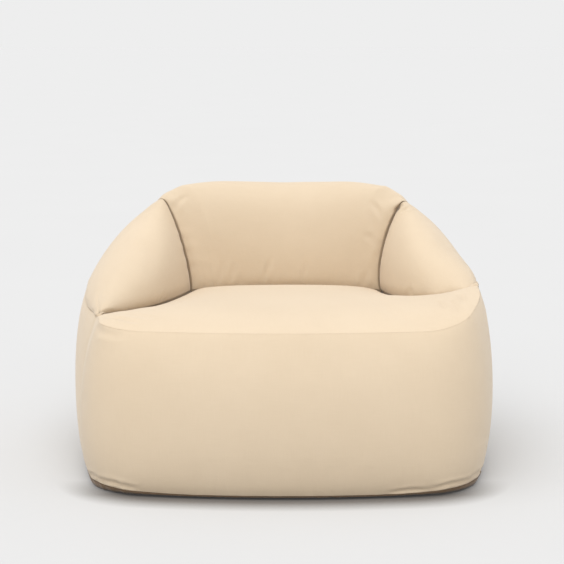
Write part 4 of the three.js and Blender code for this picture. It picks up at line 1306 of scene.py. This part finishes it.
class RingMesh:
    """The bolster sack: a closed tube through the arms and the backrest."""

    def __init__(self, step):
        stops = [SACK_START, SACK_ZIP_END, 1]
        half = stretch(stops, [HALF_LENGTH * d for d in np.diff(stops)], [False] * 3, step)
        columns = np.concatenate([half, -half[-2::-1]])
        stops = [0, *BOLSTER_ZIP_BAND, 1]
        shoulder = stretch(stops, [SHOULDER_LENGTH * d for d in np.diff(stops)], [False] * 4, step)
        rows = [("shoulder", t) for t in shoulder[:-1]]
        rows += [("face", t) for t in graded(FACE_LENGTH, step, False, False)[:-1]]
        rows += [("divider", 1 - t) for t in graded(DIVIDER_LENGTH, step, False, False)[:-1]]
        height = len(rows)
        self.points = np.concatenate([section_point(name, columns, t) for name, t in rows])
        self.section = np.repeat([name for name, t in rows], len(columns))
        self.u = np.tile(columns, height)
        self.t = np.repeat([t for name, t in rows], len(columns))
        self.faces, self.tags = [], []
        for r in range(height):
            after = (r + 1) % height
            for c in range(len(columns) - 1):
                low, high = r * len(columns) + c, after * len(columns) + c
                self.faces.append([low, low + 1, high + 1, high])
                middle = (abs(columns[c]) + abs(columns[c + 1])) / 2
                name, t = rows[r]
                self.tags.append((name, middle, t + 1e-6, ""))
        for end in (0, len(columns) - 1):
            self.cap([r * len(columns) + end for r in range(height)], end > 0)

    def cap(self, ring, flip):
        """Closes an end with smaller and smaller copies of its ring."""
        centre = self.points[ring].mean(0)
        inner = ring
        for share in (0.7, 0.4):
            fresh = list(range(len(self.points), len(self.points) + len(ring)))
            self.points = np.vstack([self.points, lerp(centre, self.points[ring], share)])
            self.extend(ring)
            self.bridge(inner, fresh, flip)
            inner = fresh
        self.points = np.vstack([self.points, centre])
        self.extend(ring[:1])
        self.bridge(inner, [len(self.points) - 1] * len(inner), flip)

    def extend(self, source):
        self.section = np.append(self.section, ["cap"] * len(source))
        self.u = np.append(self.u, self.u[source])
        self.t = np.append(self.t, self.t[source])

    def bridge(self, outer, inner, flip):
        for i in range(len(outer)):
            j = (i + 1) % len(outer)
            corners = [outer[i], inner[i], inner[j], outer[j]]
            face = [v for k, v in enumerate(corners) if v != corners[(k + 1) % 4]]
            self.faces.append(face[::-1] if flip else face)
            self.tags.append(("cap", 0.0, 0.0, ""))


def sack_zip_share(mesh, section, rows):
    """1 beside the sack's zip, where the sack keeps to its plain place, and 0 further away."""
    length = {"wall": WALL_LENGTH, "shoulder": SHOULDER_LENGTH}[section]
    gap = np.abs(mesh.t - sum(rows) / 2) * length
    past = np.maximum(SACK_ZIP_END - np.abs(mesh.u), 0) * HALF_LENGTH
    across = 1 - smoothstep(gap, *SACK_ZIP_FADE["across"])
    return (mesh.section == section) * (across * (1 - smoothstep(past, *SACK_ZIP_FADE["along"])))


def sack_surfaces(mesh, share, cover):
    """Points of the sack and, a little deeper, of its beads."""
    triangles = triangles_of(mesh.faces)
    outside = ~np.isin(mesh.section, ("divider", "cap"))
    swollen = carried_over(cover.coarse, cover.moved, mesh) * outside[:, None]
    calm = smoothed(mesh.points + swollen, triangles, SACK_ROUNDS)
    points = lerp(calm, mesh.points, share[:, None])
    distances = seam_distances(mesh)
    extra = sum(size * np.exp(-(distances[kind] / reach) ** 2) for kind, (size, reach) in SACK_EXTRA.items())
    depth = lerp(SACK_DEPTH + smoothed(extra, triangles, SACK_ROUNDS), SACK_DEPTH_AT_ZIP, share)
    normals = smoothed(vertex_normals(points, triangles), triangles, SACK_EVEN_ROUNDS)
    outer = points - unit(normals) * depth[:, None]
    outer = cover.keep_below(outer, SACK_LEAST_DEPTH, 1 - share)
    outer = lerp(smoothed(outer, triangles, SACK_EVEN_ROUNDS), outer, share[:, None])
    outer = cover.keep_below(outer, SACK_LEAST_DEPTH, 1 - share)
    deeper = BEADS_BELOW_SACK + (SACK_DEPTH - SACK_DEPTH_AT_ZIP) * share
    return outer, outer - unit(normals) * deeper[:, None]


def build_sack(name, mesh, section, rows, cover):
    share = sack_zip_share(mesh, section, rows)
    outer, inner = sack_surfaces(mesh, share, cover)
    opened = [i for i, tag in enumerate(mesh.tags)
              if not (tag[0] == section and in_band(tag, rows, SACK_ZIP_END))]
    spots, faces, _ = subset(mesh, outer, opened, share)
    sack = make_object(name + "_cloth", spots, faces, "sack_fabric", "root", "sack_fabric", [name])
    shell(sack, SACK_THICKNESS)
    filling = name.replace("sack", "beads")
    beads = make_object(filling + "_fill", inner, mesh.faces, "beads", "root", "beads", [filling])


def build_divider(cover):
    """The inner cloth that holds the crease back, from the crease seam to the belt seam."""
    mesh = cover.mesh
    chosen = np.where(np.abs(mesh.columns) >= ARM_TIP + DIVIDER_FROM_TIP)[0]
    side = np.sign(mesh.columns[chosen])
    chosen = chosen[np.argsort(side * np.abs(mesh.columns[chosen]) - 2 * side)]
    columns = mesh.columns[chosen]
    low_gap = cover.points[mesh.belt[chosen]] - section_point("divider", columns, 0.0)
    high_gap = cover.points[mesh.crease[chosen]] - section_point("divider", columns, 1.0)
    rows = [section_point("divider", columns, t) + lerp(low_gap, high_gap, t) for t in DIVIDER_PLACES]
    obj = make_object("sack_divider_panel_cloth", np.concatenate(rows), sheet_faces(len(rows), len(columns)),
                      "sack_fabric", "root", "sack_fabric", ["sack_divider_panel"])
    shell(obj, SACK_THICKNESS, offset=0.0)


# ------------------------------------------------------------------ swept pieces
def rings_to_mesh(rings):
    """Closed solids from rings of points, shaped (solids, rings, sides, 3), with a fan at each end."""
    solids, count, sides = rings.shape[:3]
    points = rings.reshape(-1, 3)
    faces = []
    for k in range(solids):
        first = k * count * sides
        for r in range(count - 1):
            for i in range(sides):
                a, b = first + r * sides + i, first + r * sides + (i + 1) % sides
                faces.append([a, b, b + sides, a + sides])
        faces.append([first + i for i in range(sides)][::-1])
        faces.append([first + (count - 1) * sides + i for i in range(sides)])
    return points, faces


ODD_DIRECTION = np.array([0.31, 0.52, 0.79])     # no rod runs along this


def tubes(paths, radius, sides=6, ends=0.45):
    """Round rods along paths, shaped (rods, points, 3)."""
    paths = np.asarray(paths, float)
    along = unit(np.gradient(paths, axis=1))
    side = unit(np.cross(along, ODD_DIRECTION))
    other = np.cross(along, side)
    angles = np.linspace(0, 2 * math.pi, sides, endpoint=False)
    sizes = np.full(paths.shape[1], radius)
    sizes[[0, -1]] = radius * ends
    spokes = (side[:, :, None, :] * np.cos(angles)[:, None] + other[:, :, None, :] * np.sin(angles)[:, None])
    return rings_to_mesh(paths[:, :, None, :] + spokes * sizes[:, None, None])


class ZipFrame:
    """Places beside a zip: s up across the chain and depth below the plain outer surface."""

    def __init__(self, section, rows):
        middle = sum(rows) / 2
        spots = section_point(section, np.ones(3), np.array([middle - 1e-4, middle, middle + 1e-4]))
        self.middle = np.array([spots[1, 1] - REAR_CENTRE_Y, spots[1, 2]])
        self.up = unit(np.array([spots[2, 1] - spots[0, 1], spots[2, 2] - spots[0, 2]]))
        self.out = np.array([self.up[1], -self.up[0]])

    def at(self, s, depth, angle):
        rim = self.middle + self.up * column(s) - self.out * column(depth)
        return np.stack([rim[..., 0] * np.sin(angle), REAR_CENTRE_Y + rim[..., 0] * np.cos(angle),
                         rim[..., 1] + 0 * angle], -1)


def sweep(zip_frame, outline, half_angle, steps):
    """A closed outline of (s, depth) turned round the rear arc's upright axis."""
    outline = np.array(outline)
    angles = np.linspace(-half_angle, half_angle, steps + 1)[:, None]
    rings = zip_frame.at(outline[None, :, 0], outline[None, :, 1], angles)
    if np.cross(outline[1] - outline[0], outline[2] - outline[1]) < 0:
        rings = rings[:, ::-1]
    return rings_to_mesh(rings[None])


def coil(zip_frame, side, near, far, outer, inner, half_angle):
    """One row of zip coil: a wire wound round and round along the tape."""
    turns = round(2 * half_angle * REAR_RADIUS / COIL_PITCH)
    share = np.linspace(0, 1, turns * COIL_POINTS + 1)
    turn = 2 * math.pi * turns * share
    middle_s, half_s = (near + far) / 2, (far - near) / 2 - COIL_WIRE
    middle_depth, half_depth = (outer + inner) / 2, (inner - outer) / 2 - COIL_WIRE
    s = side * (middle_s - half_s * np.cos(turn))
    depth = middle_depth + half_depth * np.sin(turn)
    path = zip_frame.at(s, depth, lerp(-half_angle, half_angle, share))
    return tubes(path[None], COIL_WIRE, sides=5, ends=1.0)


def merged(*parts):
    """Several point and face lists as one."""
    points, faces = [], []
    for spots, corners in parts:
        first = sum(len(p) for p in points)
        points.append(np.asarray(spots))
        faces += [[first + i for i in face] for face in corners]
    return np.concatenate(points), faces


def runs_along(line):
    """The length from the start of a line to each of its points."""
    return np.concatenate([[0], np.cumsum(length_of(np.diff(line, axis=0)))])


def stitch_spans(line, count, length):
    """Five points for each of a number of stitches, evenly spread along a line."""
    runs = runs_along(line)
    middles = (np.arange(count) + 0.5) * runs[-1] / count
    spans = middles[:, None] + np.linspace(-0.5, 0.5, 5) * length
    return np.stack([np.interp(spans, runs, line[:, k]) for k in range(3)], -1)


STITCH = {"pitch": 0.0036, "length": 0.0029, "radius": 0.00028}
STITCH_HEIGHTS = (-0.0004, 0.00012, 0.00026, 0.00012, -0.0004)


def stitches(cover, line):
    """Short thread stitches along a line of plain-surface points, dipping into the cloth."""
    count = max(1, int(runs_along(line)[-1] / STITCH["pitch"]))
    spots = stitch_spans(line, count, STITCH["length"])
    return tubes(cover.lie_on(spots, np.tile(STITCH_HEIGHTS, count)), STITCH["radius"])


# ------------------------------------------------------------------ zips, label and stitching
COIL_PITCH = 0.0020
COIL_POINTS = 12
COIL_WIRE = 0.00035
STOP_ANGLE = 0.003 / REAR_RADIUS
CHAIN_HALF_ANGLE = ZIP_HALF_ANGLE - 2 * STOP_ANGLE
COIL_NEAR, COIL_FAR = 0.00045, 0.0034
COIL_DEPTHS, SACK_COIL_DEPTHS = (0.0002, 0.0025), (0.0050, 0.0065)
TAPE = {"flat": 0.006, "far": 0.015, "outer": 0.0028}
SACK_TAPE = {"flat": 0.005, "far": 0.012, "outer": 0.0065}
TAPE_NEAR, TAPE_CORD = 0.0012, 0.0012
TAPE_FALL, TAPE_THICKNESS = 0.001, 0.0005
TAPE_STEPS = 96
COVER_ZIP = ZipFrame("wall", ZIP_ROWS)


def tape_outline(tape, side):
    """A woven tape whose outer part lies a little deeper than the part beside the coil."""
    flat, far, outer = (tape[k] for k in ("flat", "far", "outer"))
    inner = outer + TAPE_THICKNESS
    top = [(TAPE_NEAR, outer), (TAPE_NEAR + TAPE_CORD, outer), (flat, outer), (far, outer + TAPE_FALL)]
    low = [(far, inner + TAPE_FALL), (flat, inner), (TAPE_NEAR, inner)]
    return [(side * s, depth) for s, depth in top + low]


def along_zip(points):
    """Flat cloth coordinates for a tape: along the arc and up."""
    points = np.asarray(points)
    angle = np.arctan2(points[:, 0], points[:, 1] - REAR_CENTRE_Y)
    return np.stack([angle * REAR_RADIUS, points[:, 2]], -1)


def build_zip_row(prefix, zip_frame, tape, coil_depths, half_angles, finishes, nodes):
    """Both tapes of a zip with their coils. nodes holds patterns for the CAD names of a tape and a coil."""
    tape_material, coil_material, tape_slot, coil_slot = finishes
    for level, side in (("upper", 1), ("lower", -1)):
        tape_nodes, coil_nodes = ([name.format(level) for name in group] for group in nodes)
        points, faces = sweep(zip_frame, tape_outline(tape, side), half_angles[0], TAPE_STEPS)
        cloth = along_zip(points)[[i for face in faces for i in face]]
        make_object(f"{prefix}_{level}_tape_woven", points, faces, tape_material, "root", tape_slot,
                    tape_nodes, cloth, smooth=False)
        wound = coil(zip_frame, side, COIL_NEAR, COIL_FAR, *coil_depths, half_angles[1])
        make_object(f"{prefix}_{level}_coil_wound", *wound, coil_material, "root", coil_slot, coil_nodes)


def build_zips():
    build_zip_row("zip", COVER_ZIP, TAPE, COIL_DEPTHS, (ZIP_HALF_ANGLE, CHAIN_HALF_ANGLE),
                  ("zip_tape", "zip_coil", "zip_tape", "zip_coil"), (["zip_{}_tape"], ["zip_{}_coil"]))
    for name, section, rows in (("seat_sack_zip", "wall", SACK_ZIP_ROWS),
                                ("bolster_sack_zip", "shoulder", BOLSTER_ZIP_BAND)):
        build_zip_row(name, ZipFrame(section, rows), SACK_TAPE, SACK_COIL_DEPTHS, (SACK_ZIP_HALF_ANGLE,) * 2,
                      ("sack_tape", "sack_zip", "sack_zip", "sack_zip"), ([name + "_{}_half"], []))


STITCHED_BESIDE = ZIP_HALF_OPENING + 0.0032
STITCHED_ANGLE = ZIP_HALF_ANGLE + 0.004 / REAR_RADIUS


def build_stitching(cover):
    """Two rows of stitches that hold the zip tapes, joined across both ends."""
    angles = np.linspace(-STITCHED_ANGLE, STITCHED_ANGLE, 120)
    heights = np.linspace(-STITCHED_BESIDE, STITCHED_BESIDE, 12)
    rows = [stitches(cover, COVER_ZIP.at(np.full(120, side * STITCHED_BESIDE), np.zeros(120), angles))
            for side in (-1, 1)]
    rows += [stitches(cover, COVER_ZIP.at(heights, np.zeros(12), np.full(12, side * STITCHED_ANGLE)))
             for side in (-1, 1)]
    make_object("zip_stitching", *merged(*rows), "thread", "root", "cover_fabric")


LABEL = {"width": 0.032, "drop": 0.046, "below": 0.003, "angle": math.radians(-8), "lift": 0.0008,
         "curl": 0.0030, "wave": 0.0005, "thickness": 0.0005, "columns": 17, "rows": 24}
LABEL_STITCHES = 8
LABEL_STITCH = {"length": 0.0028, "radius": 0.00026, "lift": 0.0004}
LABEL_STITCH_HEIGHTS = np.array([-0.0003, 0.0002, 0.0004, 0.0002, -0.0003])


def build_label(cover):
    """A blank folded label, sewn on along its upper edge, whose free end curls out a little."""
    half = LABEL["width"] / 2 / REAR_RADIUS
    angles = np.linspace(LABEL["angle"] - half, LABEL["angle"] + half, LABEL["columns"])
    heights = REAR_SEAM_HEIGHT - LABEL["below"] - np.linspace(0, LABEL["drop"], LABEL["rows"])
    places = np.interp(heights, *wall_heights())
    u = np.sign(angles) * (1 - np.abs(angles) * REAR_RADIUS / HALF_LENGTH)
    plain = section_point("wall", *np.meshgrid(u, places))
    share = np.linspace(0, 1, len(heights))[:, None]
    wave = LABEL["wave"] * np.sin(np.linspace(0, 3 * math.pi, len(angles)))[None, :]
    lift = LABEL["lift"] + LABEL["curl"] * share ** 2 + wave * share
    points = cover.lie_on(plain, lift.ravel()).reshape(-1, 3)
    faces = sheet_faces(len(heights), len(angles), turned=True)
    flat = np.stack([np.tile(angles * REAR_RADIUS, len(heights)), np.repeat(heights, len(angles))], -1)
    obj = make_object("care_label_cloth", points, faces, "label", "root", "label", ["care_label"],
                      flat[[i for face in faces for i in face]])
    shell(obj, LABEL["thickness"], offset=0.0)
    spots = cover.lie_on(plain[1, 1:-1], LABEL["lift"] + LABEL_STITCH["lift"])
    make_object("label_stitching", *merged(label_stitches(spots)), "thread", "root", "cover_fabric")


def label_stitches(spots):
    """Stitches that dip into the label, straight out from the rear arc's axis."""
    out = unit(spots[len(spots) // 2] - [0, REAR_CENTRE_Y, spots[len(spots) // 2, 2]])
    paths = stitch_spans(spots, LABEL_STITCHES, LABEL_STITCH["length"])
    paths += out * LABEL_STITCH_HEIGHTS[None, :, None]
    return tubes(paths, LABEL_STITCH["radius"])


def wall_heights():
    places = np.linspace(0, 1, 400)
    return section_point("wall", np.ones_like(places), places)[:, 2], places


METAL_EDGES = {
    "zip_slider": 0.0003, "zip_pull_tab": 0.00045, "zip_left_stop": 0.0003, "zip_right_stop": 0.0003,
    "seat_sack_zip_slider": 0.0002, "bolster_sack_zip_slider": 0.0002,
}
SHARP_ANGLE = math.radians(35)


def finish_cad_nodes():
    """Metal parts keep their CAD shape, with their edges rounded, and get their own finish."""
    for name, edge in METAL_EDGES.items():
        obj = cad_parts[name]
        obj.data.materials.clear()
        obj.data.materials.append(materials["zip_metal"])
        bevel = obj.modifiers.new("Rounded", "BEVEL")
        bevel.width = edge
        bevel.segments = 2
        bevel.limit_method = "ANGLE"
        bevel.angle_limit = SHARP_ANGLE


cover = Cover()
cover.build()
build_sack("seat_sack", ChairMesh(SACK_STEP, False, True), "wall", SACK_ZIP_ROWS, cover)
build_sack("bolster_sack", RingMesh(SACK_STEP), "shoulder", BOLSTER_ZIP_BAND, cover)
build_divider(cover)
build_zips()
build_stitching(cover)
build_label(cover)
finish_cad_nodes()

# ------------------------------------------------------------------ floor, light and camera
CAMERA_DISTANCE = 3.6
CAMERA_ELEVATION = math.radians(9.0)
TARGET_HEIGHT = 0.400
FRAME_SHIFT = -0.0047
SENSOR = 36.0
LENS = 98.3
FARTHEST_SEEN = 400.0
FLOOR_REACH = 150.0


def make_floor():
    """A floor that runs on to the horizon, where it has the grey of the surroundings."""
    points = [(x * FLOOR_REACH, y * FLOOR_REACH, 0.0) for x, y in ((-1, -1), (1, -1), (1, 1), (-1, 1))]
    make_object("studio_floor", points, [(0, 1, 2, 3)], "floor")


# the whole surroundings are one even pale grey, and two broad suns model the shapes
STUDIO_GREY = 0.855
SUNS = {
    # name: (where it stands, its spread, its strength)
    "key": ((-0.10, -0.95, 1.05), math.radians(55), 1.05),
    "top": ((-0.15, -0.25, 1.0), math.radians(70), 1.45),
}


def add_sun(name, direction, spread, strength):
    data = bpy.data.lights.new(name, "SUN")
    data.angle = spread
    data.energy = strength
    obj = bpy.data.objects.new(name, data)
    obj.rotation_euler = Vector(direction).to_track_quat("Z", "Y").to_euler()
    bpy.context.scene.collection.objects.link(obj)


def make_lights():
    for name, settings in SUNS.items():
        add_sun(name, *settings)
    world = bpy.data.worlds.new("studio")
    bpy.context.scene.world = world
    world.use_nodes = True
    background = world.node_tree.nodes["Background"]
    background.inputs["Color"].default_value = (1.0, 1.0, 1.0, 1.0)
    background.inputs["Strength"].default_value = STUDIO_GREY
    bpy.context.scene.view_settings.view_transform = "Standard"


def make_camera():
    data = bpy.data.cameras.new("camera")
    data.sensor_width = SENSOR
    data.lens = LENS
    data.clip_end = FARTHEST_SEEN
    camera = bpy.data.objects.new("camera", data)
    run = CAMERA_DISTANCE * math.cos(CAMERA_ELEVATION)
    rise = CAMERA_DISTANCE * math.sin(CAMERA_ELEVATION)
    camera.location = (FRAME_SHIFT, -run, TARGET_HEIGHT + rise)
    camera.rotation_euler = (math.pi / 2 - CAMERA_ELEVATION, 0.0, 0.0)
    bpy.context.scene.collection.objects.link(camera)
    bpy.context.scene.camera = camera


make_floor()
make_lights()
make_camera()
